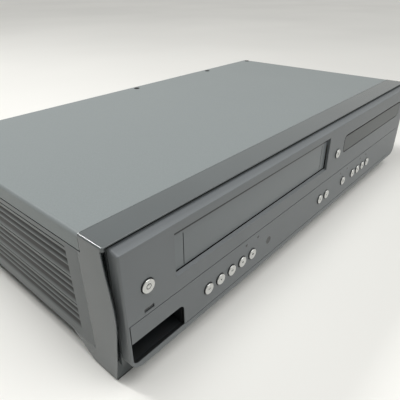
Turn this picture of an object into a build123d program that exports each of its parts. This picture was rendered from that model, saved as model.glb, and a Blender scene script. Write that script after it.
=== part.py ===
from build123d import *
import math
import os

# Combined disc player and video cassette recorder, in millimetres.
# +X runs to the viewer's right along the face, +Y to the rear, +Z up from the floor.
# The origin is on the floor, at the middle of the deck's width and depth.

# ---------------------------------------------------------------- overall sizes
width = 435.0
height = 99.0
body_depth = 234.5          # face plane to the lid's rear edge
face_proud = 6.3            # face panel in front of the top strip's front edge
button_proud = 1.2
rear_inset = 1.5            # lid's rear edge beyond the rear panel
socket_proud = 8.0          # rear sockets beyond the rear panel
cabinet_bottom = 15.0       # underside of the chassis above the floor

gap = 0.3                   # between pieces that move past each other
running = 0.05              # radial clearance of a shaft in its bore

left = -width / 2
right = width / 2
overall_depth = button_proud + body_depth - rear_inset + socket_proud
face_y = -overall_depth / 2 + button_proud
strip_y = face_y + face_proud
lid_rear_y = face_y + body_depth
rear_panel_y = lid_rear_y - rear_inset

# ---------------------------------------------------------------- walls and sheets
lid_sheet = 0.8
pan_sheet = 1.0
board_thick = 1.6
panel_wall = 2.6
skin = 2.2                  # front skin of the face panel

# ---------------------------------------------------------------- top strip and cheeks
strip_depth = 19.7
strip_thick = 2.5
strip_edge_radius = 0.4
strip_end_radius = 1.5
strip_undercut = 3.0        # depth of the groove under the strip's front edge
undercut_end = 2.0          # where that groove starts, from either side
strip_lip = 0.8             # strip's thickness at its front edge
cheek_thick = 3.0
cheek_depth = 22.6          # cheek's rear seam, behind the strip's front edge
cheek_land = 0.4            # flat left along the cheek's front edge
# The cheek's front edge: distance behind the strip's front edge, and height.
cheek_curve = ((5.4, 1.2), (3.0, 12.0), (0.0, 31.0), (-2.2, 46.0), (-2.6, 57.0), (-0.3, 77.0), (1.6, 96.5))
boot_width = 21.0
boot_toe = 5.4              # front of the boot's sole, behind the strip's front edge
boot_heel = 27.0
boot_top = 46.5             # where the boot's slanting back meets the cabinet
pad_thick = 1.2
pad_length = 15.0
frame_wall_set = 1.5        # front of the frame's wall behind the strip's front edge
frame_wall = 2.5
frame_wall_y = strip_y + frame_wall_set
frame_back_y = frame_wall_y + frame_wall
frame_bottom = 14.0

# ---------------------------------------------------------------- lid
lid_front_y = strip_y + strip_depth + gap
lid_fold_radius = 2.6
lid_seam = 88.4             # lower edge of the lid's skirts
side_top = 87.6             # upper edge of the side panels' outer face
screw_set = 6.2             # lid screws, in front of the lid's rear edge
screw_head = 3.1
screw_shank = 1.5
lid_screw_x = (left + 5.8, -3.3, 120.4, right - 5.8)

# ---------------------------------------------------------------- side panels
louvre_front = 35.0         # from the strip's front edge
louvre_rear_margin = 9.0
louvre_depth = 2.1
louvre_pitch = 5.1
louvre_group_pitch = 20.8
louvre_top = 81.4
louvre_count = 3
louvre_groups = 3
louvre_fall = 4.2           # height over which a short slot slopes out again
louvre_long_fall = 6.6      # the same for the last slot of a group
line_over_group = 2.4       # thin line above each group's first slot
line_width = 0.8
line_depth = 1.2
tongue_height = 6.0         # side panel's tongue behind the lid's skirt

# ---------------------------------------------------------------- face panel
face_margin = 4.0           # groove between the cheeks' outer side and the face
face_bottom = 12.0
face_top = 96.2
face_lip = 94.8             # front edge of the face's sloping top
face_corner = 9.0
face_edge = 1.4
lip_radius = 0.5
seam_line_z = 47.5
seam_line_right = 13.0      # where the section line stops, from the right side
lip_line_z = 17.4
engraving = 0.6

slot_left = 41.7            # cassette slot, from the left side
slot_width = 189.6
slot_bottom = 59.2
slot_top = 88.9
sill_rise = 1.0
door_set = 2.6              # door's front behind the face plane
door_thick = 2.0
door_side_gap = 1.1
door_bottom_gap = 0.8
door_top_gap = 0.9
door_axis_below = 1.5       # hinge axis below the door's top edge
door_groove_set = 9.5
pin_radius = 1.0
pin_length = 3.0
ear = 4.2

tray_margin = 22.0          # tray front, from the right side
tray_front_width = 150.0
tray_front_bottom = 65.5
tray_front_top = 81.0
tray_front_corner = 4.0
tray_front_thick = 3.4
tray_top_gap = 0.9
tray_front_gap = 0.5

recess_left = 5.6           # front socket recess, from the left side
recess_right = 47.2
recess_bottom = 17.6
recess_top = 34.2
recess_depth = 19.0
recess_corner = 4.0
pocket_wall = 1.6

power_x = left + 20.5
power_z = 67.0
power_radius = 4.3
standby_x = left + 20.3
standby_z = 51.0
standby_width = 7.3
standby_height = 2.6
key_radius = 4.0
key_hole = 0.5              # radial gap round a button's cap
key_travel = 0.8
flange_extra = 0.7
flange_thick = 1.0
stem_radius = 2.0
tape_key_x = left + 70.3
tape_key_pitch = 12.3
tape_key_z = 31.5
channel_key_x = left + 226.2
channel_key_pitch = 12.6
channel_key_z = 32.0
source_key_x = right - 160.5
disc_key_x = right - 137.5
disc_key_pitch = 12.5
disc_key_z = 32.5
tray_key_x = right - 184.7
tray_key_z = 68.8
remote_x = left + 141.8
remote_z = 31.7
remote_radius = 3.1
lamp_radius = 1.2
lamp_z = 42.5
lamp_x = (left + 112.2, left + 126.8, right - 168.0, right - 152.5, right - 120.3, right - 105.3)

# ---------------------------------------------------------------- tape deck
cassette_width = 188.0
cassette_height = 25.0
deck_x = left + slot_left + slot_width / 2
deck_front = 26.0           # all from the strip's front edge
deck_rear = 204.0
deck_z = 34.0               # underside of the deck plate
deck_thick = 2.0
deck_top = deck_z + deck_thick
deck_leg = 4.0
deck_overhang = 4.0         # plate beyond the carriage brackets
reel_spacing = 92.0
reel_y = strip_y + 82.0
reel_radius = 20.0
reel_thick = 3.0
reel_hub = 6.0
reel_hub_height = 15.0
spindle_pin = 2.0
drum_radius = 31.0
drum_y = strip_y + 161.0
drum_tilt = 5.0
drum_lift = 4.0
lower_drum_height = 17.0
upper_drum_height = 15.0
drum_gap = 0.4
drum_shaft = 3.0
capstan_x = deck_x + 50.0
capstan_y = strip_y + 124.0
capstan_radius = 1.5
capstan_top = 66.0
flywheel_radius = 20.0
flywheel_thick = 5.0
pinch_x = capstan_x + 20.0
pinch_y = capstan_y + 16.0
pinch_arm_length = 20.0
pinch_radius = 6.0
pinch_height = 12.0
post_start = (18.0, 112.0)  # guide post from the deck's middle, and from the strip
post_travel = (21.0, 40.0)
post_radius = 2.2
post_top = 63.0
post_base = 8.0
cam_x = deck_x + 62.0
cam_y = strip_y + 178.0
cam_radius = 14.0
cam_thick = 5.0

holder_wall = 1.0
holder_play = 0.6
holder_front = 27.0
holder_depth = 60.0
holder_top_gap = 1.0
shelf = 11.0
slider_wall = 1.2
slider_front = 42.0
slider_depth = 28.0
carriage_wall = 1.2
carriage_gap = 0.6          # side gap between holder, slider and bracket
carriage_rear = 136.0
carriage_travel = 33.0
holder_drop = 20.0
runner = 3.0

# ---------------------------------------------------------------- disc loader
loader_wall = 2.5
loader_front = 8.0          # from the strip's front edge
loader_rear = 190.0
loader_floor = 48.0
loader_top = 83.0
tray_width = 140.0
tray_side_gap = 0.5
tray_bottom = 69.5
tray_floor = 2.5
tray_rim = 6.5              # tray's full thickness
tray_rear = 165.0
disc_radius = 60.0
disc_play = 0.8
small_disc_radius = 40.0
disc_y = strip_y + 70.0
disc_x = right - tray_margin - tray_front_width / 2
tray_slot = 44.0
tie_bar = 5.0
rail = 4.0
pivot_y = strip_y + 178.0
traverse_z = 52.0
traverse_thick = 4.0
traverse_width = 84.0
table_radius = 14.0
table_seat = 65.6
table_hub = 7.3
table_hub_height = 2.2
rod_radius = 1.5
rod_spacing = 56.0
clamper_radius = 15.0
bridge_width = 30.0
tray_gear_radius = 12.0
rack_front = 9.0

# ---------------------------------------------------------------- circuit boards and rear
board_z = 22.0
board_top = board_z + board_thick
stand_off = 3.0
socket_radius = 4.15
socket_bore = 1.7
socket_pitch = 13.0
socket_block = 12.0
rear_foot_radius = 12.0
inner_wall = panel_wall + pan_sheet

os.makedirs("parts", exist_ok=True)


def at_y(y):
    """A sketch plane facing forward at depth y: local x is X, local y is Z, extrude goes forward."""
    return Plane.XZ.offset(-y)


def at_x(x):
    """A sketch plane facing right at x: local x is Y, local y is Z, extrude goes to the right."""
    return Plane.YZ.offset(x)


def block(x0, x1, y0, y1, z0, z1, mode=Mode.ADD):
    """A box between two corners, in the part being built."""
    with Locations(((x0 + x1) / 2, (y0 + y1) / 2, (z0 + z1) / 2)):
        Box(abs(x1 - x0), abs(y1 - y0), abs(z1 - z0), mode=mode)


def post(x, y, z0, z1, radius, mode=Mode.ADD):
    """An upright cylinder."""
    with Locations((x, y, (z0 + z1) / 2)):
        Cylinder(radius, z1 - z0, mode=mode)


def peg_y(x, z, y0, y1, radius, mode=Mode.ADD):
    """A cylinder along Y."""
    with Locations((x, (y0 + y1) / 2, z)):
        Cylinder(radius, y1 - y0, rotation=(90, 0, 0), mode=mode)


def peg_x(y, z, x0, x1, radius, mode=Mode.ADD):
    """A cylinder along X."""
    with Locations(((x0 + x1) / 2, y, z)):
        Cylinder(radius, x1 - x0, rotation=(0, 90, 0), mode=mode)


def save(builder, name):
    """Label a finished piece and write its STEP file."""
    builder.part.label = name
    export_step(builder.part, f"parts/{name}.step")


# ================================================================ casing
# The lid is one sheet folded down along both sides, open at its front and rear.
with BuildPart() as top_cover:
    with BuildSketch(at_y(lid_rear_y)):
        with BuildLine():
            FilletPolyline(
                (left, lid_seam), (left, height), (right, height), (right, lid_seam), radius=lid_fold_radius
            )
            FilletPolyline(
                (left + lid_sheet, lid_seam),
                (left + lid_sheet, height - lid_sheet),
                (right - lid_sheet, height - lid_sheet),
                (right - lid_sheet, lid_seam),
                radius=lid_fold_radius - lid_sheet,
            )
            Line((left, lid_seam), (left + lid_sheet, lid_seam))
            Line((right, lid_seam), (right - lid_sheet, lid_seam))
        make_face()
    extrude(amount=lid_rear_y - lid_front_y)
    for screw_x in lid_screw_x:
        post(screw_x, lid_rear_y - screw_set, height - 2 * lid_sheet, height + lid_sheet,
             screw_shank + running, Mode.SUBTRACT)
save(top_cover, "top_cover")

panel_front_y = strip_y + cheek_depth + gap / 3
panel_inner = panel_wall


def side_panel(side, name):
    """A louvred side wall. side is -1 for the left and 1 for the right."""
    outer = side * width / 2
    inner = outer - side * panel_wall
    skirt = outer - side * (lid_sheet + gap)
    louvre_y0 = strip_y + louvre_front
    louvre_y1 = lid_rear_y - louvre_rear_margin
    with BuildPart() as wall:
        block(outer, inner, panel_front_y, rear_panel_y, cabinet_bottom, side_top)
        block(skirt, inner, panel_front_y + gap, rear_panel_y, side_top, side_top + tongue_height)
        # Each slot steps straight in at its top and slopes out to the surface below.
        with BuildSketch(at_y(louvre_y1)):
            for group in range(louvre_groups):
                group_top = louvre_top - group * louvre_group_pitch
                for row in range(louvre_count):
                    slot_z = group_top - row * louvre_pitch
                    fall = louvre_long_fall if row == louvre_count - 1 else louvre_fall
                    with BuildLine():
                        Polyline(
                            (outer, slot_z), (outer - side * louvre_depth, slot_z), (outer, slot_z - fall),
                            (outer, slot_z),
                        )
                    make_face()
                with Locations((outer - side * line_depth / 2, group_top + line_over_group)):
                    Rectangle(line_depth, line_width)
        extrude(amount=louvre_y1 - louvre_y0, mode=Mode.SUBTRACT)
    save(wall, name)


side_panel(-1, "side_panel_left")
side_panel(1, "side_panel_right")

# ---------------------------------------------------------------- front frame
slot_x0 = left + slot_left
slot_x1 = slot_x0 + slot_width
tray_x1 = right - tray_margin
tray_x0 = tray_x1 - tray_front_width
tray_center_x = (tray_x0 + tray_x1) / 2
recess_x0 = left + recess_left
recess_x1 = left + recess_right
window_margin = 3.0
key_window_x0 = left + 56.0
key_window_x1 = right - 94.0
key_window_z0 = 22.0
key_window_z1 = 46.0


def cheek_profile(thickness, x0):
    """The cheek's side view: bowed front edge, boot below, straight seam behind."""
    with BuildSketch(at_x(x0)) as profile:
        with BuildLine():
            Spline([(strip_y + set_back, z) for set_back, z in cheek_curve])
            Polyline(
                (strip_y + cheek_curve[-1][0], height - strip_thick),
                (strip_y + strip_depth, height - strip_thick),
                (strip_y + strip_depth, side_top),
                (strip_y + cheek_depth, side_top),
                (strip_y + cheek_depth, cabinet_bottom),
                (strip_y + boot_top, cabinet_bottom),
                (strip_y + boot_heel, pad_thick),
                (strip_y + boot_toe, pad_thick),
            )
        make_face()
    extrude(profile.sketch, amount=thickness)


def cheek(side):
    """One cheek, bevelled inside its front edge. side is -1 for the left and 1 for the right."""
    x0 = left if side < 0 else right - cheek_thick
    with BuildPart() as piece:
        cheek_profile(cheek_thick, x0)
        front_edges = piece.edges().filter_by(GeomType.BSPLINE).sort_by(Axis.X)
        chamfer(front_edges[-1] if side < 0 else front_edges[0], cheek_thick - cheek_land)
    add(piece.part)


def boot_inner(x0, x1):
    """The boot's inward part, hidden under the cabinet."""
    with BuildSketch(at_x(x0)) as profile:
        with BuildLine():
            Polyline(
                (strip_y + boot_toe, pad_thick),
                (strip_y + boot_toe, cabinet_bottom),
                (strip_y + boot_top, cabinet_bottom),
                (strip_y + boot_heel, pad_thick),
                (strip_y + boot_toe, pad_thick),
            )
        make_face()
    extrude(profile.sketch, amount=x1 - x0)


with BuildPart() as front_frame:
    block(left, right, strip_y, strip_y + strip_depth, height - strip_thick, height)
    strip_top = front_frame.faces().sort_by(Axis.Z)[-1]
    fillet(strip_top.edges().filter_by(Axis.X).sort_by(Axis.Y)[0], strip_edge_radius)
    fillet(front_frame.faces().sort_by(Axis.Z)[-1].edges().filter_by(Axis.Y), strip_end_radius)
    block(left + cheek_thick, right - cheek_thick, frame_wall_y, frame_back_y, frame_bottom,
          height - strip_thick)
    # A ledge under the lid's front edge carries it between the cheeks.
    block(left + inner_wall, right - inner_wall, strip_y + strip_depth - strip_thick,
          lid_front_y + window_margin, height - lid_sheet - strip_thick, height - lid_sheet)
    block(left + inner_wall, right - inner_wall, strip_y + strip_depth,
          lid_front_y + window_margin, height - lid_sheet, height, Mode.SUBTRACT)
    cheek(-1)
    cheek(1)
    boot_inner(left + cheek_land, left + boot_width)
    boot_inner(right - boot_width, right - cheek_land)
    # The strip's front edge is undercut, so a dark groove runs above the face.
    with BuildSketch(at_x(left + undercut_end)):
        with BuildLine():
            Polyline(
                (strip_y - skin, height - strip_lip),
                (strip_y, height - strip_lip),
                (strip_y + strip_undercut, height - strip_thick),
                (strip_y - skin, height - strip_thick),
                (strip_y - skin, height - strip_lip),
            )
        make_face()
    extrude(amount=width - 2 * undercut_end, mode=Mode.SUBTRACT)
    block(slot_x0 - ear, slot_x1 + ear, frame_wall_y, frame_back_y, slot_bottom - window_margin,
          slot_top + window_margin, Mode.SUBTRACT)
    block(tray_x0 - window_margin / 2, tray_x1 + window_margin / 2, frame_wall_y, frame_back_y,
          tray_front_bottom - window_margin, tray_front_top + window_margin, Mode.SUBTRACT)
    block(key_window_x0, key_window_x1, frame_wall_y, frame_back_y, key_window_z0, key_window_z1,
          Mode.SUBTRACT)
    for window_x, window_z in ((power_x, power_z), (tray_key_x, tray_key_z)):
        block(window_x - 2 * key_radius, window_x + 2 * key_radius, frame_wall_y, frame_back_y,
              window_z - 2 * key_radius, window_z + 2 * key_radius, Mode.SUBTRACT)
    # The dark pocket behind the front sockets.
    pocket_y = face_y + recess_depth
    block(recess_x0 - pocket_wall, recess_x1 + pocket_wall, frame_wall_y, pocket_y + pocket_wall,
          recess_bottom - pocket_wall, recess_top + pocket_wall)
    block(recess_x0, recess_x1, frame_wall_y, pocket_y, recess_bottom, recess_top, Mode.SUBTRACT)
save(front_frame, "front_frame")

# ---------------------------------------------------------------- face panel
face_x0 = left + face_margin
face_x1 = right - face_margin
face_middle_z = (face_bottom + face_top) / 2
skin_y = face_y + skin
keys = {
    "power_button": (power_x, power_z, power_radius),
    "tray_button": (tray_key_x, tray_key_z, key_radius),
    "source_button": (source_key_x, disc_key_z, key_radius),
}
tape_names = ("tape_rewind_button", "tape_play_button", "tape_forward_button", "tape_stop_button",
              "record_button")
for number, name in enumerate(tape_names):
    keys[name] = (tape_key_x + number * tape_key_pitch, tape_key_z, key_radius)
for number, name in enumerate(("channel_down_button", "channel_up_button")):
    keys[name] = (channel_key_x + number * channel_key_pitch, channel_key_z, key_radius)
disc_names = ("disc_back_button", "disc_forward_button", "disc_stop_button", "disc_play_button")
for number, name in enumerate(disc_names):
    keys[name] = (disc_key_x + number * disc_key_pitch, disc_key_z, key_radius)

door_x0 = slot_x0 + door_side_gap
door_x1 = slot_x1 - door_side_gap
door_z0 = slot_bottom + sill_rise + door_bottom_gap
door_z1 = slot_top - door_top_gap
door_front_y = face_y + door_set
door_axis_y = door_front_y + door_thick / 2
door_axis_z = door_z1 - door_axis_below

with BuildPart() as face_panel:
    with BuildSketch(at_y(frame_wall_y)):
        with Locations((0, face_middle_z)):
            outline = Rectangle(face_x1 - face_x0, face_top - face_bottom)
        fillet(outline.vertices().group_by(Axis.Y)[0], face_corner)
    extrude(amount=frame_wall_y - face_y)
    # The top slopes down to the lip, all along.
    lip_slope = (face_top - face_lip) / face_proud
    with BuildSketch(at_x(face_x0)):
        with BuildLine():
            Polyline(
                (face_y - skin, face_lip - skin * lip_slope),
                (strip_y, face_top),
                (face_y - skin, face_top),
                (face_y - skin, face_lip - skin * lip_slope),
            )
        make_face()
    extrude(amount=face_x1 - face_x0, mode=Mode.SUBTRACT)
    front_edges = face_panel.faces().sort_by(Axis.Y)[0].edges().sort_by(Axis.Z)
    sloping_top = face_panel.faces().filter_by(lambda f: f.normal_at().Z > 0.9).sort_by(Axis.Y)[0]
    end_edges = [e for e in sloping_top.edges() if abs(e.tangent_at(0.5).X) < 0.5]
    fillet(list(front_edges[:-1]) + end_edges, face_edge)
    fillet(face_panel.edges().filter_by(Axis.X).group_by(Axis.Y)[0].sort_by(Axis.Z)[-1], lip_radius)
    with BuildSketch(at_y(frame_wall_y)):
        with Locations((0, face_middle_z)):
            hollow = Rectangle(face_x1 - face_x0 - 2 * skin, face_top - face_bottom - 2 * skin)
        fillet(hollow.vertices().group_by(Axis.Y)[0], face_corner - skin)
    extrude(amount=frame_wall_y - skin_y, mode=Mode.SUBTRACT)
    # Hinge ears beside the door stand behind the skin.
    for ear_x0, ear_x1 in ((slot_x0 - ear, door_x0 - gap), (door_x1 + gap, slot_x1 + ear)):
        block(ear_x0, ear_x1, skin_y, frame_wall_y, door_axis_z - ear, slot_top + skin)
    # The slot's lower edge is a sill that slopes up to the door.
    with BuildSketch(at_x(slot_x0)):
        with BuildLine():
            Polyline(
                (face_y - skin, slot_bottom),
                (face_y, slot_bottom),
                (skin_y, slot_bottom + sill_rise),
                (skin_y, slot_top),
                (face_y - skin, slot_top),
                (face_y - skin, slot_bottom),
            )
        make_face()
    extrude(amount=slot_width, mode=Mode.SUBTRACT)
    peg_x(door_axis_y, door_axis_z, slot_x0 - ear, slot_x1 + ear, pin_radius + running, Mode.SUBTRACT)
    with BuildSketch(at_y(skin_y)):
        tray_hole_z = (tray_front_bottom + tray_front_top + tray_top_gap - tray_front_gap) / 2
        with Locations((tray_center_x, tray_hole_z)):
            RectangleRounded(
                tray_front_width + 2 * tray_front_gap,
                tray_front_top - tray_front_bottom + tray_top_gap + tray_front_gap,
                tray_front_corner + tray_front_gap,
            )
    extrude(amount=skin, mode=Mode.SUBTRACT)
    with BuildSketch(at_y(skin_y)):
        with Locations(((recess_x0 + recess_x1) / 2, (recess_bottom + recess_top) / 2)):
            opening = Rectangle(recess_x1 - recess_x0, recess_top - recess_bottom)
        corners = opening.vertices().sort_by(lambda v: v.X + v.Y)
        fillet([corners[0], corners[-1]], recess_corner)
    extrude(amount=skin, mode=Mode.SUBTRACT)
    for key_x, key_z, radius in keys.values():
        peg_y(key_x, key_z, face_y, skin_y, radius + key_hole, Mode.SUBTRACT)
    for x in lamp_x:
        peg_y(x, lamp_z, face_y, skin_y, lamp_radius, Mode.SUBTRACT)
    peg_y(remote_x, remote_z, face_y, skin_y, remote_radius, Mode.SUBTRACT)
    block(standby_x - standby_width / 2, standby_x + standby_width / 2, face_y, skin_y,
          standby_z - standby_height / 2, standby_z + standby_height / 2, Mode.SUBTRACT)
    # Fine engraved lines divide the face.
    block(recess_x0, right - seam_line_right, face_y, face_y + engraving,
          seam_line_z - engraving / 2, seam_line_z + engraving / 2, Mode.SUBTRACT)
    block(recess_x0, recess_x0 + engraving, face_y, face_y + engraving, recess_top, seam_line_z,
          Mode.SUBTRACT)
    block(recess_x1 + engraving, right - 2 * seam_line_right, face_y, face_y + engraving,
          lip_line_z - engraving / 2, lip_line_z + engraving / 2, Mode.SUBTRACT)
save(face_panel, "face_panel")

with BuildPart() as face_lenses:
    for x in lamp_x:
        peg_y(x, lamp_z, face_y, skin_y, lamp_radius)
    peg_y(remote_x, remote_z, face_y, skin_y, remote_radius)
    block(standby_x - standby_width / 2, standby_x + standby_width / 2, face_y + engraving, skin_y,
          standby_z - standby_height / 2, standby_z + standby_height / 2)
save(face_lenses, "face_lenses")

# ---------------------------------------------------------------- cassette door
with BuildPart() as cassette_door:
    block(door_x0, door_x1, door_front_y, door_front_y + door_thick, door_z0, door_z1)
    for groove_x in (slot_x0 + door_groove_set, slot_x1 - door_groove_set):
        block(groove_x - engraving / 2, groove_x + engraving / 2, door_front_y, door_front_y + engraving,
              door_z0 + engraving, door_z1 - ear, Mode.SUBTRACT)
    peg_x(door_axis_y, door_axis_z, door_x0 - pin_length, door_x1 + pin_length, pin_radius)
save(cassette_door, "cassette_door")

# A wire spring beside the left ear of the hinge.
spring_wire = 0.35
spring_radius = 2.2
spring_turns = 4
spring_pitch = 1.7 * spring_wire
spring_y = skin_y + spring_radius + spring_wire + running
spring_z = door_axis_z - ear / 2
with BuildPart() as door_spring:
    for turn in range(spring_turns):
        with Locations(Location((slot_x0 - ear - spring_wire - turn * spring_pitch, spring_y, spring_z),
                                (0, 90, 0))):
            Torus(spring_radius, spring_wire)
    block(slot_x0 - ear - spring_turns * spring_pitch, slot_x0 - ear, spring_y - spring_wire,
          spring_y + spring_wire, spring_z - spring_radius - spring_wire / 2,
          spring_z - spring_radius + spring_wire / 2)
save(door_spring, "door_spring")

# ---------------------------------------------------------------- buttons
switch_height = 3.5
switch_side = 6.0
plunger = 0.8
key_board_y = frame_back_y
plunger_y = key_board_y - switch_height - plunger
stem_y = plunger_y - key_travel - running * 2


def button(name, x, z, radius):
    """A round capped push button: chrome cap, retaining flange behind the skin, and stem."""
    cap_y = face_y - button_proud
    flange_y = skin_y + gap
    with BuildPart() as piece:
        peg_y(x, z, cap_y, flange_y, radius)
        fillet(piece.faces().sort_by(Axis.Y)[0].edges(), button_proud / 2)
        # A shallow dish and a raised centre on the cap.
        peg_y(x, z, cap_y, cap_y + engraving / 2, radius * 0.72, Mode.SUBTRACT)
        peg_y(x, z, cap_y, cap_y + engraving, radius * 0.4)
        peg_y(x, z, flange_y, flange_y + flange_thick, radius + flange_extra)
        peg_y(x, z, flange_y + flange_thick, stem_y, stem_radius)
    save(piece, name)


for name, (key_x, key_z, radius) in keys.items():
    button(name, key_x, key_z, radius)


def key_circuit(x0, x1, z0, z1, places):
    """A key circuit board flat against the frame's back, with a tact switch behind each stem."""
    block(x0, x1, key_board_y, key_board_y + board_thick, z0, z1)
    for x, z in places:
        block(x - switch_side / 2, x + switch_side / 2, key_board_y - switch_height, key_board_y,
              z - switch_side / 2, z + switch_side / 2)
        peg_y(x, z, plunger_y, key_board_y - switch_height, stem_radius)


small_board = 2 * key_radius + window_margin
with BuildPart() as key_board:
    key_circuit(key_window_x0 - window_margin, key_window_x1 + window_margin, key_window_z0,
                key_window_z1 + window_margin,
                [(x, z) for x, z, radius in keys.values() if z < seam_line_z])
    for x, z in ((power_x, power_z), (tray_key_x, tray_key_z)):
        key_circuit(x - small_board, x + small_board, z - small_board, z + small_board, [(x, z)])
save(key_board, "key_board")

# ---------------------------------------------------------------- front sockets
front_socket_pitch = 11.5
front_socket_x = [(recess_x0 + recess_x1) / 2 + step * front_socket_pitch for step in (-1, 0, 1)]
front_socket_z = (recess_bottom + recess_top) / 2
front_socket_length = 8.0
with BuildPart() as front_av_jacks:
    for x in front_socket_x:
        peg_y(x, front_socket_z, pocket_y - front_socket_length, pocket_y, socket_radius)
        peg_y(x, front_socket_z, pocket_y - front_socket_length, pocket_y - pocket_wall, socket_bore,
              Mode.SUBTRACT)
save(front_av_jacks, "front_av_jacks")

# ================================================================ chassis
pan_rear_y = rear_panel_y
loader_x0 = disc_x - tray_width / 2 - tray_side_gap - loader_wall
loader_x1 = disc_x + tray_width / 2 + tray_side_gap + loader_wall
loader_y0 = strip_y + loader_front
loader_y1 = strip_y + loader_rear
holder_x0 = deck_x - cassette_width / 2 - holder_play - holder_wall
holder_x1 = deck_x + cassette_width / 2 + holder_play + holder_wall
slider_x0 = holder_x0 - carriage_gap - slider_wall
slider_x1 = holder_x1 + carriage_gap + slider_wall
bracket_x0 = slider_x0 - carriage_gap - carriage_wall
bracket_x1 = slider_x1 + carriage_gap + carriage_wall
deck_x0 = bracket_x0 - deck_overhang
deck_x1 = bracket_x1 + deck_overhang
deck_y0 = strip_y + deck_front
deck_y1 = strip_y + deck_rear
leg_set = 8.0
deck_leg_set = deck_overhang + carriage_wall + screw_head + 2.0
deck_legs = [(x, y) for x in (deck_x0 + deck_leg_set, deck_x1 - deck_leg_set)
             for y in (deck_y0 + leg_set, deck_y1 - leg_set)]
loader_legs = [(x, y) for x in (loader_x0 + leg_set, loader_x1 - leg_set)
               for y in (loader_y0 + leg_set, loader_y1 - leg_set)]
board_front_y = strip_y + 50.0
board_rear_y = rear_panel_y - pan_sheet - gap
main_x0 = left + 12.0
main_x1 = deck_x1 + 2.0
power_board_x0 = loader_x0 + 2 * leg_set
power_board_x1 = right - 12.0
power_board_rear_y = board_rear_y - socket_block - 3.0
board_set = 5.0
board_rear_set = 50.0
main_holes = [(x, y) for x in (main_x0 + board_set, main_x1 - board_set)
              for y in (board_front_y + board_set, board_rear_y - board_rear_set)]
power_holes = [(x, y) for x in (power_board_x0 + board_set, power_board_x1 - board_set)
               for y in (board_front_y + board_set, power_board_rear_y - board_set)]
pan_floor = cabinet_bottom + pan_sheet

with BuildPart() as chassis_pan:
    block(left + cheek_thick, right - cheek_thick, frame_back_y, pan_rear_y, cabinet_bottom, pan_floor)
    for x0 in (left + panel_inner, right - panel_inner - pan_sheet):
        block(x0, x0 + pan_sheet, panel_front_y, pan_rear_y, pan_floor, side_top + tongue_height)
    for x, y in main_holes + power_holes:
        post(x, y, pan_floor, board_z, stand_off)
    for x, y in loader_legs:
        post(x, y, pan_floor, loader_floor, deck_leg)
    for row in range(8):
        vent_x = right - 60.0 - row * 12.0
        block(vent_x - 1.5, vent_x + 1.5, board_front_y + 20, board_front_y + 60, cabinet_bottom, pan_floor,
              Mode.SUBTRACT)
save(chassis_pan, "chassis_pan")

foot_x = width / 2 - 38.0
rear_foot_set = 32.0         # from the lid's rear edge
pad_set = 1.0
rear_pad_set = 2.0
foot_y = lid_rear_y - rear_foot_set
with BuildPart() as foot_pads:
    for x in (left + boot_width / 2, right - boot_width / 2):
        block(x - boot_width / 2 + pad_set, x + boot_width / 2 - pad_set, strip_y + boot_toe,
              strip_y + boot_toe + pad_length, 0, pad_thick)
    for x in (-foot_x, foot_x):
        post(x, foot_y, pad_thick, cabinet_bottom, rear_foot_radius)
        post(x, foot_y, 0, pad_thick, rear_foot_radius - rear_pad_set)
save(foot_pads, "foot_pads")

# ---------------------------------------------------------------- rear panel and its sockets
rear_inner_y = rear_panel_y - pan_sheet
av_x = left + 95.0
av_z = (36.0, 36.0 + socket_pitch)
av_columns = 5
disc_av_x = right - 150.0
disc_av_columns = 4
rear_sockets = [(av_x + column * socket_pitch, z) for column in range(av_columns) for z in av_z]
rear_sockets += [(disc_av_x + column * socket_pitch, z) for column in range(disc_av_columns) for z in av_z]
aerial_x = left + 20.0
aerial_z = (34.0, 52.0)
aerial_radius = 4.75
gland_x = right - 30.0
gland_z = 34.0
gland_radius = 5.5
flange_depth = 13.0
vent_rows = 4
vent_columns = 14
vent_pitch = 7.0
vent_slot = 2.4
vent_tall = 4.0
vent_right = 60.0            # first column, from the right side
vent_bottom = 62.0           # lowest row
with BuildPart() as rear_panel:
    block(left + inner_wall, right - inner_wall, rear_inner_y, rear_panel_y, pan_floor, height - lid_sheet)
    block(left + inner_wall, right - inner_wall, rear_panel_y - flange_depth, rear_inner_y,
          height - lid_sheet - pan_sheet, height - lid_sheet)
    for x, z in rear_sockets:
        peg_y(x, z, rear_inner_y, rear_panel_y, socket_radius + gap, Mode.SUBTRACT)
    for z in aerial_z:
        peg_y(aerial_x, z, rear_inner_y, rear_panel_y, aerial_radius + gap, Mode.SUBTRACT)
    peg_y(gland_x, gland_z, rear_inner_y, rear_panel_y, gland_radius, Mode.SUBTRACT)
    for row in range(vent_rows):
        for column in range(vent_columns):
            vent_x = right - vent_right - column * vent_pitch
            vent_z = vent_bottom + row * vent_pitch
            block(vent_x - vent_slot / 2, vent_x + vent_slot / 2, rear_inner_y, rear_panel_y,
                  vent_z - vent_tall / 2, vent_z + vent_tall / 2, Mode.SUBTRACT)
    for x in lid_screw_x:
        post(x, lid_rear_y - screw_set, height - lid_sheet - pan_sheet, height - lid_sheet,
             screw_shank + running, Mode.SUBTRACT)
save(rear_panel, "rear_panel")

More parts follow.
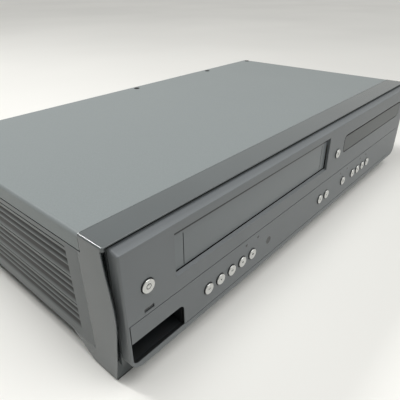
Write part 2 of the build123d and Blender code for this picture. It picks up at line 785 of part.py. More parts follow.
with BuildPart() as rear_av_jacks:
    for first_x, columns in ((av_x, av_columns), (disc_av_x, disc_av_columns)):
        block(first_x - socket_pitch / 2, first_x + (columns - 0.5) * socket_pitch,
              rear_inner_y - socket_block, rear_inner_y,
              av_z[0] - socket_pitch / 2, av_z[1] + socket_pitch / 2)
    block(av_x, av_x + (av_columns - 1) * socket_pitch, rear_inner_y - socket_block,
          rear_inner_y - pan_sheet, board_top, av_z[0])
    block(disc_av_x, disc_av_x + (disc_av_columns - 1) * socket_pitch, rear_inner_y - socket_block,
          rear_inner_y - pan_sheet, pan_floor, av_z[0])
    for x, z in rear_sockets:
        peg_y(x, z, rear_inner_y, rear_panel_y + socket_proud, socket_radius)
        peg_y(x, z, rear_panel_y, rear_panel_y + socket_proud, socket_bore, Mode.SUBTRACT)
save(rear_av_jacks, "rear_av_jacks")

tuner_width = 24.0
tuner_depth = 40.0
tuner_rise = 10.0            # above the upper aerial's axis
with BuildPart() as tuner_module:
    block(aerial_x - tuner_width / 2, aerial_x + tuner_width / 2, rear_inner_y - tuner_depth, rear_inner_y,
          board_top, aerial_z[1] + tuner_rise)
    for z in aerial_z:
        peg_y(aerial_x, z, rear_inner_y, rear_panel_y + socket_proud - 1, aerial_radius)
        peg_y(aerial_x, z, rear_panel_y + 1, rear_panel_y + socket_proud - 1, socket_bore / 2, Mode.SUBTRACT)
save(tuner_module, "tuner_module")

with BuildPart() as cord_gland:
    peg_y(gland_x, gland_z, rear_inner_y - 6.0, rear_panel_y, gland_radius)
    peg_y(gland_x, gland_z, rear_panel_y, rear_panel_y + 4.0, gland_radius + 2)
    peg_y(gland_x, gland_z, rear_inner_y - 6.0, rear_panel_y + 4.0, gland_radius - 2, Mode.SUBTRACT)
save(cord_gland, "cord_gland")

with BuildPart() as cover_screws:
    for x in lid_screw_x:
        post(x, lid_rear_y - screw_set, height, height + engraving, screw_head)
        post(x, lid_rear_y - screw_set, height - 8.0, height, screw_shank)
save(cover_screws, "cover_screws")

# ---------------------------------------------------------------- circuit boards
with BuildPart() as main_board:
    block(main_x0, main_x1, board_front_y, board_rear_y - 1, board_z, board_top)
    for x, y in deck_legs:
        post(x, y, board_z, board_top, deck_leg + 1, Mode.SUBTRACT)
    for x, y, side in ((deck_x - 40, strip_y + 70, 20.0), (deck_x + 30, strip_y + 75, 14.0),
                       (deck_x, strip_y + 178, 16.0)):
        block(x - side / 2, x + side / 2, y - side / 2, y + side / 2, board_top, board_top + 2.0)
    for column in range(6):
        post(left + 20.0, strip_y + 90.0 + column * 9.0, board_top, board_top + 9.0, 3.0)
save(main_board, "main_board")

with BuildPart() as power_board:
    block(power_board_x0, power_board_x1, board_front_y, power_board_rear_y, board_z, board_top)
    for x, y in loader_legs:
        post(x, y, board_z, board_top, deck_leg + 1, Mode.SUBTRACT)
save(power_board, "power_board")

transformer_width = 34.0
transformer_length = 28.0
transformer_height = 18.0
with BuildPart() as power_components:
    transformer_x = disc_x + 20.0
    transformer_y = strip_y + 150.0
    block(transformer_x - transformer_width / 2, transformer_x + transformer_width / 2,
          transformer_y - transformer_length / 2, transformer_y + transformer_length / 2,
          board_top, board_top + transformer_height)
    for column in range(3):
        post(disc_x - 40.0 + column * 14.0, strip_y + 90.0, board_top, board_top + 20.0, 5.0)
    post(disc_x + 50.0, strip_y + 110.0, board_top, board_top + 22.0, 11.0)
    for fin in range(5):
        block(disc_x - 45.0 + fin * 5, disc_x - 43.5 + fin * 5, strip_y + 140, strip_y + 175, board_top,
              board_top + 20)
    block(disc_x - 45.0, disc_x - 23.5, strip_y + 156, strip_y + 158, board_top, board_top + 20)
save(power_components, "power_components")

# ================================================================ tape deck
supply_x = deck_x - reel_spacing / 2
take_up_x = deck_x + reel_spacing / 2
post_slot = 4.0
post_angle = math.degrees(math.atan2(post_travel[1], post_travel[0]))
post_run = math.hypot(*post_travel)


def post_place(side):
    """The start of a guide post's path; side is -1 for the left and 1 for the right."""
    return deck_x + side * post_start[0], strip_y + post_start[1]


with BuildPart() as deck_plate:
    block(deck_x0, deck_x1, deck_y0, deck_y1, deck_z, deck_top)
    for x, y in deck_legs:
        post(x, y, pan_floor, deck_z, deck_leg)
    for x in (supply_x, take_up_x):
        post(x, reel_y, deck_top, deck_top + reel_hub_height, spindle_pin)
    post(capstan_x, capstan_y, deck_top, deck_top + 6.0, capstan_radius * 3)
    post(capstan_x, capstan_y, deck_z, deck_top + 6.0, capstan_radius + running, Mode.SUBTRACT)
    post(pinch_x, pinch_y, deck_top, deck_top + 18.0, spindle_pin)
    post(cam_x, cam_y, deck_top, deck_top + gap + cam_thick, spindle_pin)
    for side in (-1, 1):
        start_x, start_y = post_place(side)
        end_x = start_x + side * post_travel[0]
        end_y = start_y + post_travel[1]
        with BuildSketch(Plane.XY.offset(deck_z)):
            with Locations(Location(((start_x + end_x) / 2, (start_y + end_y) / 2),
                                    90 - side * (90 - post_angle))):
                SlotCenterToCenter(post_run + post_slot, post_slot + 2 * gap)
        extrude(amount=deck_thick, mode=Mode.SUBTRACT)
save(deck_plate, "deck_plate")


def reel(x, name):
    """A reel table with its splined hub, turning on a pin of the deck plate."""
    low = deck_top + gap
    with BuildPart() as piece:
        post(x, reel_y, low, low + reel_thick, reel_radius)
        post(x, reel_y, low + reel_thick, deck_top + reel_hub_height + 2, reel_hub)
        with Locations((x, reel_y, low + reel_thick + reel_hub_height / 2)):
            with PolarLocations(reel_hub, 6):
                Box(4.0, 1.6, reel_hub_height)
        post(x, reel_y, low, deck_top + reel_hub_height + gap, spindle_pin + running, Mode.SUBTRACT)
    save(piece, name)


reel(supply_x, "supply_reel")
reel(take_up_x, "take_up_reel")

tilt = math.radians(drum_tilt)
drum_plane = Plane(origin=(deck_x, drum_y, deck_top + drum_lift), x_dir=(1, 0, 0),
                   z_dir=(0, math.sin(tilt), math.cos(tilt)))
with BuildPart() as lower_drum:
    with BuildSketch(drum_plane):
        Circle(drum_radius)
    extrude(amount=lower_drum_height)
    post(deck_x, drum_y, deck_top, deck_top + drum_lift + 2, drum_radius * 0.7)
    with BuildSketch(drum_plane.offset(2.0)):
        Circle(drum_shaft + running)
    extrude(amount=lower_drum_height, mode=Mode.SUBTRACT)
save(lower_drum, "lower_drum")

with BuildPart() as upper_drum:
    with BuildSketch(drum_plane.offset(lower_drum_height + drum_gap)):
        Circle(drum_radius)
    extrude(amount=upper_drum_height)
    with BuildSketch(drum_plane.offset(lower_drum_height + drum_gap + upper_drum_height)):
        Circle(drum_radius * 0.4)
    extrude(amount=2.0)
    with BuildSketch(drum_plane.offset(2.0 + gap)):
        Circle(drum_shaft)
    extrude(amount=lower_drum_height)
save(upper_drum, "upper_drum")

with BuildPart() as capstan:
    post(capstan_x, capstan_y, deck_z - gap - flywheel_thick, capstan_top, capstan_radius)
    post(capstan_x, capstan_y, deck_z - gap - flywheel_thick, deck_z - gap, flywheel_radius)
save(capstan, "capstan")

# The pinch arm rests clear of the capstan, pointing to the left from its pivot.
arm_z = deck_top + 9.0
arm_thick = 3.0
roller_z = arm_z + arm_thick + gap
roller_x = pinch_x - pinch_arm_length
with BuildPart() as pinch_arm:
    block(roller_x, pinch_x, pinch_y - 3, pinch_y + 3, arm_z, arm_z + arm_thick)
    post(pinch_x, pinch_y, deck_top + gap, arm_z + arm_thick, spindle_pin + 3)
    post(roller_x, pinch_y, arm_z, roller_z + pinch_height, 1.5)
    post(pinch_x, pinch_y, deck_top + gap, arm_z + arm_thick, spindle_pin + running, Mode.SUBTRACT)
save(pinch_arm, "pinch_arm")

with BuildPart() as pinch_roller:
    post(roller_x, pinch_y, roller_z, roller_z + pinch_height, pinch_radius)
    post(roller_x, pinch_y, roller_z, roller_z + pinch_height, 1.5 + running, Mode.SUBTRACT)
save(pinch_roller, "pinch_roller")


def guide_post(side, name):
    """A tape guide on a base that slides in its slot of the deck plate."""
    x, y = post_place(side)
    with BuildPart() as piece:
        with BuildSketch(Plane.XY.offset(deck_top + gap)):
            with Locations(Location((x, y), 90 - side * (90 - post_angle))):
                Rectangle(post_base, post_base)
        extrude(amount=3.0)
        post(x, y, deck_z, deck_top + gap, post_slot / 2)
        post(x, y, deck_top + gap + 3.0, post_top, post_radius)
        post(x, y, post_top - 2.0, post_top, post_radius + 1)
    save(piece, name)


guide_post(-1, "guide_post_left")
guide_post(1, "guide_post_right")


def toothed(x, y, z0, thickness, radius, teeth, bore):
    """A spur gear with square teeth round a bore."""
    tooth = math.pi * radius / teeth
    post(x, y, z0, z0 + thickness, radius - 1.2)
    with Locations((x, y, z0 + thickness / 2)):
        with PolarLocations(radius - 1.2, teeth):
            Box(2.4, tooth, thickness)
    post(x, y, z0, z0 + thickness, bore, Mode.SUBTRACT)


with BuildPart() as loading_gear:
    toothed(cam_x, cam_y, deck_top + gap, cam_thick, cam_radius, 28, spindle_pin + running)
save(loading_gear, "loading_gear")

motor_radius = 9.0
motor_x = cam_x - cam_radius - motor_radius - 2
motor_y = deck_y1 - motor_radius - 2
with BuildPart() as loading_motor:
    post(motor_x, motor_y, deck_top, deck_top + 22.0, motor_radius)
save(loading_motor, "loading_motor")

# ---------------------------------------------------------------- cassette carriage
holder_y0 = strip_y + holder_front
holder_y1 = holder_y0 + holder_depth
shelf_z = slot_bottom + sill_rise
holder_top_z = shelf_z + holder_wall + cassette_height + holder_top_gap
slider_y0 = strip_y + slider_front
slider_y1 = slider_y0 + slider_depth
slider_z0 = shelf_z - holder_drop - runner
slider_z1 = holder_top_z + holder_wall + runner + gap
runner_y = (slider_y0 + slider_y1) / 2
runner_z = (shelf_z + holder_top_z) / 2
bracket_z1 = slider_z1 + carriage_gap
rail_z = slider_z1 - runner

with BuildPart() as cassette_holder:
    for x0 in (holder_x0, holder_x1 - holder_wall):
        block(x0, x0 + holder_wall, holder_y0, holder_y1, shelf_z, holder_top_z + holder_wall)
    block(holder_x0, holder_x1, holder_y0, holder_y1, holder_top_z, holder_top_z + holder_wall)
    block(holder_x0, holder_x0 + shelf, holder_y0, holder_y1, shelf_z, shelf_z + holder_wall)
    block(holder_x1 - shelf, holder_x1, holder_y0, holder_y1, shelf_z, shelf_z + holder_wall)
    # Guide blocks ride in the upright slots of the sliders.
    block(holder_x0 - carriage_gap - slider_wall, holder_x0, runner_y - runner / 2, runner_y + runner / 2,
          runner_z - runner / 2, runner_z + runner / 2)
    block(holder_x1, holder_x1 + carriage_gap + slider_wall, runner_y - runner / 2, runner_y + runner / 2,
          runner_z - runner / 2, runner_z + runner / 2)
save(cassette_holder, "cassette_holder")

with BuildPart() as carriage_slider:
    for x0 in (slider_x0, slider_x1 - slider_wall):
        block(x0, x0 + slider_wall, slider_y0, slider_y1, slider_z0, slider_z1)
        block(x0, x0 + slider_wall, runner_y - runner / 2 - gap, runner_y + runner / 2 + gap,
              runner_z - holder_drop - runner / 2 - gap, runner_z + runner / 2 + gap, Mode.SUBTRACT)
    block(slider_x0, slider_x1, slider_y1 - runner, slider_y1, holder_top_z + holder_wall + gap, slider_z1)
    # Runners ride in the level slots of the fixed brackets.
    block(slider_x0 - carriage_gap - carriage_wall, slider_x0, slider_y0, slider_y1, rail_z,
          rail_z + runner - gap)
    block(slider_x1, slider_x1 + carriage_gap + carriage_wall, slider_y0, slider_y1, rail_z,
          rail_z + runner - gap)
save(carriage_slider, "carriage_slider")

with BuildPart() as carriage_frame:
    for x0 in (bracket_x0, bracket_x1 - carriage_wall):
        block(x0, x0 + carriage_wall, deck_y0 + leg_set, strip_y + carriage_rear, deck_top, bracket_z1)
        block(x0, x0 + carriage_wall, slider_y0 - gap, slider_y1 + carriage_travel + gap, rail_z - gap,
              rail_z + runner, Mode.SUBTRACT)
    block(bracket_x0, bracket_x1, strip_y + carriage_rear - leg_set, strip_y + carriage_rear, bracket_z1,
          bracket_z1 + carriage_wall)
save(carriage_frame, "carriage_frame")

# ================================================================ disc loader
tray_x_left = disc_x - tray_width / 2
tray_x_right = disc_x + tray_width / 2
tray_top = tray_bottom + tray_rim
recess_floor = tray_bottom + tray_floor
tray_front_y = face_y + tray_front_thick
tray_rear_y = strip_y + tray_rear
traverse_top = traverse_z + traverse_thick
traverse_y0 = disc_y - 24.0
traverse_x0 = disc_x - traverse_width / 2
traverse_x1 = disc_x + traverse_width / 2
pivot_z = traverse_z + traverse_thick / 2
pivot_radius = 2.0
tray_gear_x = tray_x_left + rail + tray_gear_radius + 4.0
tray_gear_y = loader_y0 + tray_gear_radius + 3.0
tray_gear_z = tray_front_bottom + gap
tray_gear_thick = tray_bottom - gap - tray_gear_z

with BuildPart() as loader_frame:
    block(loader_x0, loader_x1, loader_y0, loader_y1, loader_floor, loader_floor + loader_wall)
    block(traverse_x0 - leg_set, traverse_x1 + leg_set, traverse_y0 - leg_set, pivot_y + leg_set / 2,
          loader_floor, loader_floor + loader_wall, Mode.SUBTRACT)
    for x0 in (loader_x0, loader_x1 - loader_wall):
        block(x0, x0 + loader_wall, loader_y0, loader_y1, loader_floor, loader_top)
    block(loader_x0, loader_x1, loader_y1 - loader_wall, loader_y1, loader_floor, loader_top)
    # Rails below and above the tray's edges.
    for x0, x1 in ((loader_x0, tray_x_left + rail), (tray_x_right - rail, loader_x1)):
        block(x0, x1, loader_y0, loader_y1, tray_bottom - gap - loader_wall, tray_bottom - gap)
        block(x0, x1, loader_y0, loader_y1, tray_top + gap, tray_top + gap + loader_wall)
    # Lugs that hold the traverse's pivot rod.
    for x in (traverse_x0 - gap - rail, traverse_x1 + gap):
        block(x, x + rail, pivot_y - rail, pivot_y + leg_set / 2, loader_floor, pivot_z + rail)
        peg_x(pivot_y, pivot_z, x, x + rail, pivot_radius + running, Mode.SUBTRACT)
    block(traverse_x0 - gap - rail, traverse_x1 + gap + rail, pivot_y + leg_set / 2, loader_y1, loader_floor,
          loader_floor + loader_wall)
    post(tray_gear_x, tray_gear_y, loader_floor, tray_bottom - 3.0, spindle_pin)
save(loader_frame, "loader_frame")

with BuildPart() as disc_tray:
    block(tray_x_left, tray_x_right, tray_front_y, tray_rear_y, tray_bottom, tray_top)
    post(disc_x, disc_y, recess_floor, tray_top, disc_radius + disc_play, Mode.SUBTRACT)
    post(disc_x, disc_y, recess_floor - 1.0, recess_floor, small_disc_radius + disc_play, Mode.SUBTRACT)
    # The spindle and the pickup pass through a slot that is open to the rear.
    post(disc_x, disc_y, tray_bottom, tray_top, tray_slot / 2, Mode.SUBTRACT)
    block(disc_x - tray_slot / 2, disc_x + tray_slot / 2, disc_y, tray_rear_y, tray_bottom, tray_top,
          Mode.SUBTRACT)
    # The rack runs along the left edge, beside the rail; its pinion's tips pass a gap away from it.
    block(tray_x_left + rail + gap, tray_gear_x - tray_gear_radius - gap, strip_y + rack_front, tray_rear_y,
          tray_gear_z, tray_bottom)
    tie_z = tray_top + gap * 4
    for x0 in (disc_x - tray_slot / 2 - tie_bar, disc_x + tray_slot / 2):
        block(x0, x0 + tie_bar, tray_rear_y - tie_bar, tray_rear_y, tray_top, tie_z + disc_play * 2)
    block(disc_x - tray_slot / 2, disc_x + tray_slot / 2, tray_rear_y - tie_bar, tray_rear_y, tie_z,
          tie_z + disc_play * 2)
save(disc_tray, "disc_tray")

with BuildPart() as tray_front:
    with BuildSketch(at_y(tray_front_y)):
        with Locations((tray_center_x, (tray_front_bottom + tray_front_top) / 2)):
            RectangleRounded(tray_front_width, tray_front_top - tray_front_bottom, tray_front_corner)
    extrude(amount=tray_front_thick)
    fillet(tray_front.faces().sort_by(Axis.Y)[0].edges(), face_edge / 4)
save(tray_front, "tray_front")

tray_gear_teeth = 24
with BuildPart() as tray_gear:
    toothed(tray_gear_x, tray_gear_y, tray_gear_z, tray_gear_thick, tray_gear_radius, tray_gear_teeth,
            spindle_pin + running)
    post(tray_gear_x, tray_gear_y, loader_floor + loader_wall + gap, tray_gear_z, 4.0)
    post(tray_gear_x, tray_gear_y, loader_floor + loader_wall + gap, tray_bottom - gap,
         spindle_pin + running, Mode.SUBTRACT)
save(tray_gear, "tray_gear")

rod_y0 = disc_y + table_radius + 2.0
rod_y1 = pivot_y - 12.0
rod_z = traverse_top + rod_radius + 0.5
screw_x = disc_x + rod_spacing / 2
rod_x = disc_x - rod_spacing / 2
opening_half = rod_spacing / 2 - 6.0
with BuildPart() as traverse_frame:
    block(traverse_x0, traverse_x1, traverse_y0, pivot_y - pivot_radius, traverse_z, traverse_top)
    block(disc_x - opening_half, disc_x + opening_half, rod_y0 + 4, rod_y1 - 4, traverse_z, traverse_top,
          Mode.SUBTRACT)
    # The pivot rod runs right across, into the loader's lugs.
    peg_x(pivot_y, pivot_z, traverse_x0 - gap - rail, traverse_x1 + gap + rail, pivot_radius)
    block(traverse_x0, traverse_x1, pivot_y - 2 * pivot_radius, pivot_y, traverse_z + 1, traverse_top - 1)
    # Spindle motor below the turntable.
    post(disc_x, disc_y, traverse_top, traverse_top + 3.0, table_radius - 2)
    post(disc_x, disc_y, traverse_z - 3.0, traverse_top + 3.0, 1.5 + running, Mode.SUBTRACT)
    # Guide rod and lead screw brackets.
    for x in (rod_x, screw_x):
        for y in (rod_y0, rod_y1):
            block(x - 3, x + 3, y - 1.5, y + 1.5, traverse_top, rod_z + rod_radius + 1)
        peg_y(x, rod_z, rod_y0 - 2, rod_y1 + 2, rod_radius + running, Mode.SUBTRACT)
    peg_y(rod_x, rod_z, rod_y0 - 1.5, rod_y1 + 1.5, rod_radius + running)
save(traverse_frame, "traverse_frame")

with BuildPart() as spindle:
    post(disc_x, disc_y, table_seat - 2.0, table_seat, table_radius)
    with Locations((disc_x, disc_y, table_seat + table_hub_height / 2)):
        Cone(table_hub, table_hub - 1.5, table_hub_height)
    post(disc_x, disc_y, traverse_z, table_seat, 1.5)
save(spindle, "spindle")

sled_y0 = rod_y0 + 3.0
sled_y1 = sled_y0 + 24.0
sled_z0 = traverse_top + gap
sled_z1 = sled_z0 + 5.0
sled_hole = rod_radius + running * 2
with BuildPart() as pickup_sled:
    block(rod_x - 3.4, screw_x + 3.4, sled_y0, sled_y1, sled_z0, sled_z1)
    peg_y(rod_x, rod_z, sled_y0, sled_y1, sled_hole, Mode.SUBTRACT)
    peg_y(screw_x, rod_z, sled_y0, sled_y1, sled_hole, Mode.SUBTRACT)
    block(disc_x - 8, disc_x + 8, sled_y0 + 4, sled_y1 - 4, sled_z1, sled_z1 + 1.2)
    post(disc_x, (sled_y0 + sled_y1) / 2, sled_z1 + 1.2, sled_z1 + 2.0, 2.6)
save(pickup_sled, "pickup_sled")

with BuildPart() as lead_screw:
    peg_y(screw_x, rod_z, rod_y0 - 2, rod_y1 + 2.5, rod_radius)
    peg_y(screw_x, rod_z, rod_y1 + 2.5, rod_y1 + 5, rod_radius + 0.4)
save(lead_screw, "lead_screw")

bridge_z = loader_top
clamper_low = tie_z + disc_play * 2 + gap
bridge_thick = 1.5
clamper_overlap = 3.0
with BuildPart() as clamp_bridge:
    block(loader_x0, loader_x1, disc_y - bridge_width / 2, disc_y + bridge_width / 2, bridge_z,
          bridge_z + bridge_thick)
    block(disc_x - bridge_width, disc_x + bridge_width, disc_y - bridge_width, disc_y + bridge_width,
          bridge_z, bridge_z + bridge_thick)
    post(disc_x, disc_y, bridge_z, bridge_z + bridge_thick, clamper_radius - clamper_overlap, Mode.SUBTRACT)
save(clamp_bridge, "clamp_bridge")

with BuildPart() as clamper:
    post(disc_x, disc_y, clamper_low, bridge_z - gap, clamper_radius)
    post(disc_x, disc_y, bridge_z - gap, bridge_z + 1.5 + gap, clamper_radius - 3 - gap)
    post(disc_x, disc_y, bridge_z + 1.5 + gap, bridge_z + 3.0, clamper_radius)
save(clamper, "clamper")

with BuildPart() as chassis_screws:
    for x, y in main_holes:
        post(x, y, board_top, board_top + 2.0, screw_head)
    for x, y in power_holes:
        post(x, y, board_top, board_top + 2.0, screw_head)
    for x, y in deck_legs:
        post(x, y, deck_top, deck_top + 2.0, screw_head)
save(chassis_screws, "chassis_screws")

print("face plane y", round(face_y, 3), "strip y", round(strip_y, 3), "rear y", round(lid_rear_y, 3))
print("door axis", round(door_axis_y, 3), round(door_axis_z, 3))
print("disc centre", round(disc_x, 3), round(disc_y, 3), "pivot", round(pivot_y, 3), round(pivot_z, 3))
print("deck x", round(deck_x, 3), "reels", round(supply_x, 3), round(take_up_x, 3), round(reel_y, 3))
print("drum y", round(drum_y, 3), "capstan", round(capstan_x, 3), round(capstan_y, 3))
print("pinch pivot", round(pinch_x, 3), round(pinch_y, 3), "roller x", round(roller_x, 3))
print("cam", round(cam_x, 3), round(cam_y, 3), "tray gear", round(tray_gear_x, 3), round(tray_gear_y, 3))
print("lead screw", round(screw_x, 3), round(rod_z, 3))
print("post angle", round(post_angle, 3), "post run", round(post_run, 3))
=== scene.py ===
import logging
import math
from dataclasses import dataclass, field
from enum import Enum

import bmesh
import bpy
from mathutils import Matrix, Vector


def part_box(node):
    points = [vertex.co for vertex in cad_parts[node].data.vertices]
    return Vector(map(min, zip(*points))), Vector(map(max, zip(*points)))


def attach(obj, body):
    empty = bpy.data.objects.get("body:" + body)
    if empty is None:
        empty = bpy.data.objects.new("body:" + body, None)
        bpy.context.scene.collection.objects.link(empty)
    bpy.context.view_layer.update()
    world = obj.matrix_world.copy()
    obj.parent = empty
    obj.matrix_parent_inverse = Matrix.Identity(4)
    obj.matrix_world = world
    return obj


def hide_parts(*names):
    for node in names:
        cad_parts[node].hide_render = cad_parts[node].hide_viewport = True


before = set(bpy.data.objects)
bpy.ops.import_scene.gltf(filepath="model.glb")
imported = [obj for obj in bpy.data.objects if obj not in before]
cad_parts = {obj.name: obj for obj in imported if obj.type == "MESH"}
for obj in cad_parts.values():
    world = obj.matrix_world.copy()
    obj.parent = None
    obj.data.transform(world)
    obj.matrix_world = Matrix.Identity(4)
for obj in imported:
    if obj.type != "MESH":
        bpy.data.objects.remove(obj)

LOG = logging.getLogger("deck")
MM = 0.001
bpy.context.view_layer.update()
TO_FRONT = Vector((0.0, -1.0, 0.0))
TO_REAR = Vector((0.0, 1.0, 0.0))
UPWARD = Vector((0.0, 0.0, 1.0))

Tree = bpy.types.NodeTree
Output = bpy.types.NodeSocket
Material = bpy.types.Material
Mesh = bmesh.types.BMesh
Colour = tuple[float, float, float, float]
Point = tuple[float, float, float]
Span = tuple[float, float]


def srgb(code: str) -> Colour:
    """Turn an sRGB hex colour into linear values.

    Args:
        code: a hash and six hex digits.

    Returns:
        Linear red, green and blue, and full opacity.
    """
    channels = [int(code[i:i + 2], 16) / 255 for i in (1, 3, 5)]
    red, green, blue = (c / 12.92 if c <= 0.04045 else ((c + 0.055) / 1.055) ** 2.4 for c in channels)
    return red, green, blue, 1.0


def shade(colour: Colour, factor: float) -> Colour:
    """Scale a linear colour, keeping its opacity."""
    return tuple(min(1.0, c * factor) for c in colour[:3]) + (colour[3],)


def add_node(tree: Tree, kind: str, attributes: dict | None = None, values: dict | None = None,
             links: dict | None = None) -> bpy.types.Node:
    """Add one shader node with its settings and links.

    Args:
        tree: the material's node tree.
        kind: Blender's name of the node type.
        attributes: settings of the node itself.
        values: constants for its input sockets, by name or number.
        links: output sockets that feed its input sockets, by name or number.

    Returns:
        The new node.
    """
    node = tree.nodes.new(kind)
    for name, value in (attributes or {}).items():
        setattr(node, name, value)
    for name, value in (values or {}).items():
        node.inputs[name].default_value = value
    for name, source in (links or {}).items():
        tree.links.new(source, node.inputs[name])
    return node


def new_material(name: str) -> tuple[Material, Tree, bpy.types.Node, Output]:
    """Start a node material.

    Args:
        name: the material's name.

    Returns:
        The material, its tree, its surface shader and the Object coordinates that its patterns read.
    """
    material = bpy.data.materials.new(name)
    material.use_nodes = True
    tree = material.node_tree
    tree.nodes.clear()
    shader = add_node(tree, "ShaderNodeBsdfPrincipled")
    add_node(tree, "ShaderNodeOutputMaterial", links={"Surface": shader.outputs["BSDF"]})
    place = add_node(tree, "ShaderNodeTexCoord").outputs["Object"]
    return material, tree, shader, place


def clouded(tree: Tree, place: Output, base: Colour, shades: Span, size_mm: float, detail: float,
            span: Span = (0.35, 0.65)) -> tuple[Output, Output]:
    """Cloud a colour between two shades of itself.

    Args:
        tree: the material's node tree.
        place: the coordinates that the clouds follow.
        base: the linear colour.
        shades: the colour's share where the clouds are low and where they are high.
        size_mm: the size of the clouds.
        detail: how far they break up into smaller ones.
        span: the part of the pattern over which the shade changes.

    Returns:
        The clouds, from 0 to 1, and the clouded colour.
    """
    clouds = add_node(tree, "ShaderNodeTexNoise", values={"Scale": 1 / (size_mm * MM), "Detail": detail},
                      links={"Vector": place}).outputs["Fac"]
    ramp = add_node(tree, "ShaderNodeValToRGB", links={"Fac": clouds})
    for element, position, share in zip(ramp.color_ramp.elements, span, shades):
        element.position = position
        element.color = shade(base, share)
    return clouds, ramp.outputs["Color"]


def set_surface(tree: Tree, shader: bpy.types.Node, colour: Output, wear: Output, roughness: Span,
                relief: Output, strength: float, height_mm: float) -> None:
    """Give a shader its colour, an uneven gloss and a relief.

    Args:
        tree: the material's node tree.
        shader: its surface shader.
        colour: its colour.
        wear: the pattern that its roughness follows.
        roughness: its roughness where that pattern is 0 and where it is 1.
        relief: the pattern that its height follows.
        strength: how strongly the relief shows.
        height_mm: the height of the relief.
    """
    tree.links.new(colour, shader.inputs["Base Color"])
    rough = add_node(tree, "ShaderNodeMapRange", values={"To Min": roughness[0], "To Max": roughness[1]},
                     links={"Value": wear})
    tree.links.new(rough.outputs["Result"], shader.inputs["Roughness"])
    bump = add_node(tree, "ShaderNodeBump", values={"Strength": strength, "Distance": height_mm * MM},
                    links={"Height": relief})
    tree.links.new(bump.outputs["Normal"], shader.inputs["Normal"])


def split_place(tree: Tree, place: Output) -> tuple[Output, Output, Output, Output]:
    """Split Object coordinates.

    Args:
        tree: the material's node tree.
        place: the Object coordinates.

    Returns:
        The width, the distance from the middle of the width, the depth and the height.
    """
    parts = add_node(tree, "ShaderNodeSeparateXYZ", links={"Vector": place})
    across, back, up = (parts.outputs[name] for name in "XYZ")
    aside = add_node(tree, "ShaderNodeMath", attributes={"operation": "ABSOLUTE"}, links={0: across})
    return across, aside.outputs[0], back, up


def mask_of(tree: Tree, limits: list[tuple[Output, float, float]]) -> Output:
    """Make a mask that is 1 only where every value has passed its limit.

    Args:
        tree: the material's node tree.
        limits: for each value, the millimetres at which its share of the mask leaves 0 and reaches 1.

    Returns:
        The mask, from 0 to 1.
    """
    mask = None
    for value, leaves, reaches in limits:
        rises = leaves < reaches
        ramp = add_node(tree, "ShaderNodeMapRange", attributes={"interpolation_type": "SMOOTHSTEP"},
                        values={"From Min": min(leaves, reaches) * MM, "From Max": max(leaves, reaches) * MM,
                                "To Min": float(not rises), "To Max": float(rises)},
                        links={"Value": value}).outputs["Result"]
        mask = ramp if mask is None else add_node(
            tree, "ShaderNodeMath", attributes={"operation": "MULTIPLY"}, links={0: mask, 1: ramp}).outputs[0]
    return mask


@dataclass(frozen=True)
class Moulding:
    """Injection-moulded plastic with a spark-eroded grain: an even matt skin with very fine speckle.

    The grain of the tool is about 0.1 mm and is drawn coarser so that it shows.
    """

    name: str
    colour: str
    roughness: float = 0.5
    rough_spread: float = 0.05
    grain_mm: float = 0.45
    relief_mm: float = 0.02
    relief_strength: float = 0.35
    cloud_mm: float = 60.0
    mottle: float = 0.03
    specular: float = 0.4
    # The colour's share that is left where painted shade falls.
    painted_shade_share: float = 0.06

    def painted_shade_mask(self, tree: Tree, place: Output) -> Output | None:
        """Say where painted shade darkens the moulding, from 0 to 1; a plain moulding has none."""
        return None

    def material(self) -> Material:
        """Build the material.

        Returns:
            The material.
        """
        material, tree, shader, place = new_material(self.name)
        base = srgb(self.colour)
        shades = (1 - self.mottle, 1 + self.mottle)
        clouds, colour = clouded(tree, place, base, shades, self.cloud_mm, 3.0)
        # Painted shade: where the mask is 1, the colour falls to its painted shade share.
        mask = self.painted_shade_mask(tree, place)
        if mask is not None:
            colour = add_node(tree, "ShaderNodeMix", attributes={"data_type": "RGBA"},
                              values={7: shade(base, self.painted_shade_share)},
                              links={0: mask, 6: colour}).outputs[2]
        grain = add_node(tree, "ShaderNodeTexNoise", links={"Vector": place},
                         values={"Scale": 1 / (self.grain_mm * MM), "Detail": 2.0}).outputs["Fac"]
        roughness = (self.roughness - self.rough_spread, self.roughness + self.rough_spread)
        set_surface(tree, shader, colour, clouds, roughness, grain, self.relief_strength, self.relief_mm)
        shader.inputs["Specular IOR Level"].default_value = self.specular
        return material


@dataclass(frozen=True)
class LouvreShadedMoulding(Moulding):
    """The side wall's ABS, with painted shade in its louvres: black at their undercut tops, fading down their
    slopes.
    """

    half_width_mm: float = 217.5
    deep_mm: float = 0.75
    shallow_mm: float = 0.08
    painted_shade_share: float = 0.02

    def painted_shade_mask(self, tree: Tree, place: Output) -> Output | None:
        """Paint shade by depth below the wall's outer face."""
        aside, wall = split_place(tree, place)[1], self.half_width_mm
        return mask_of(tree, [(aside, wall - self.shallow_mm, wall - self.deep_mm)])


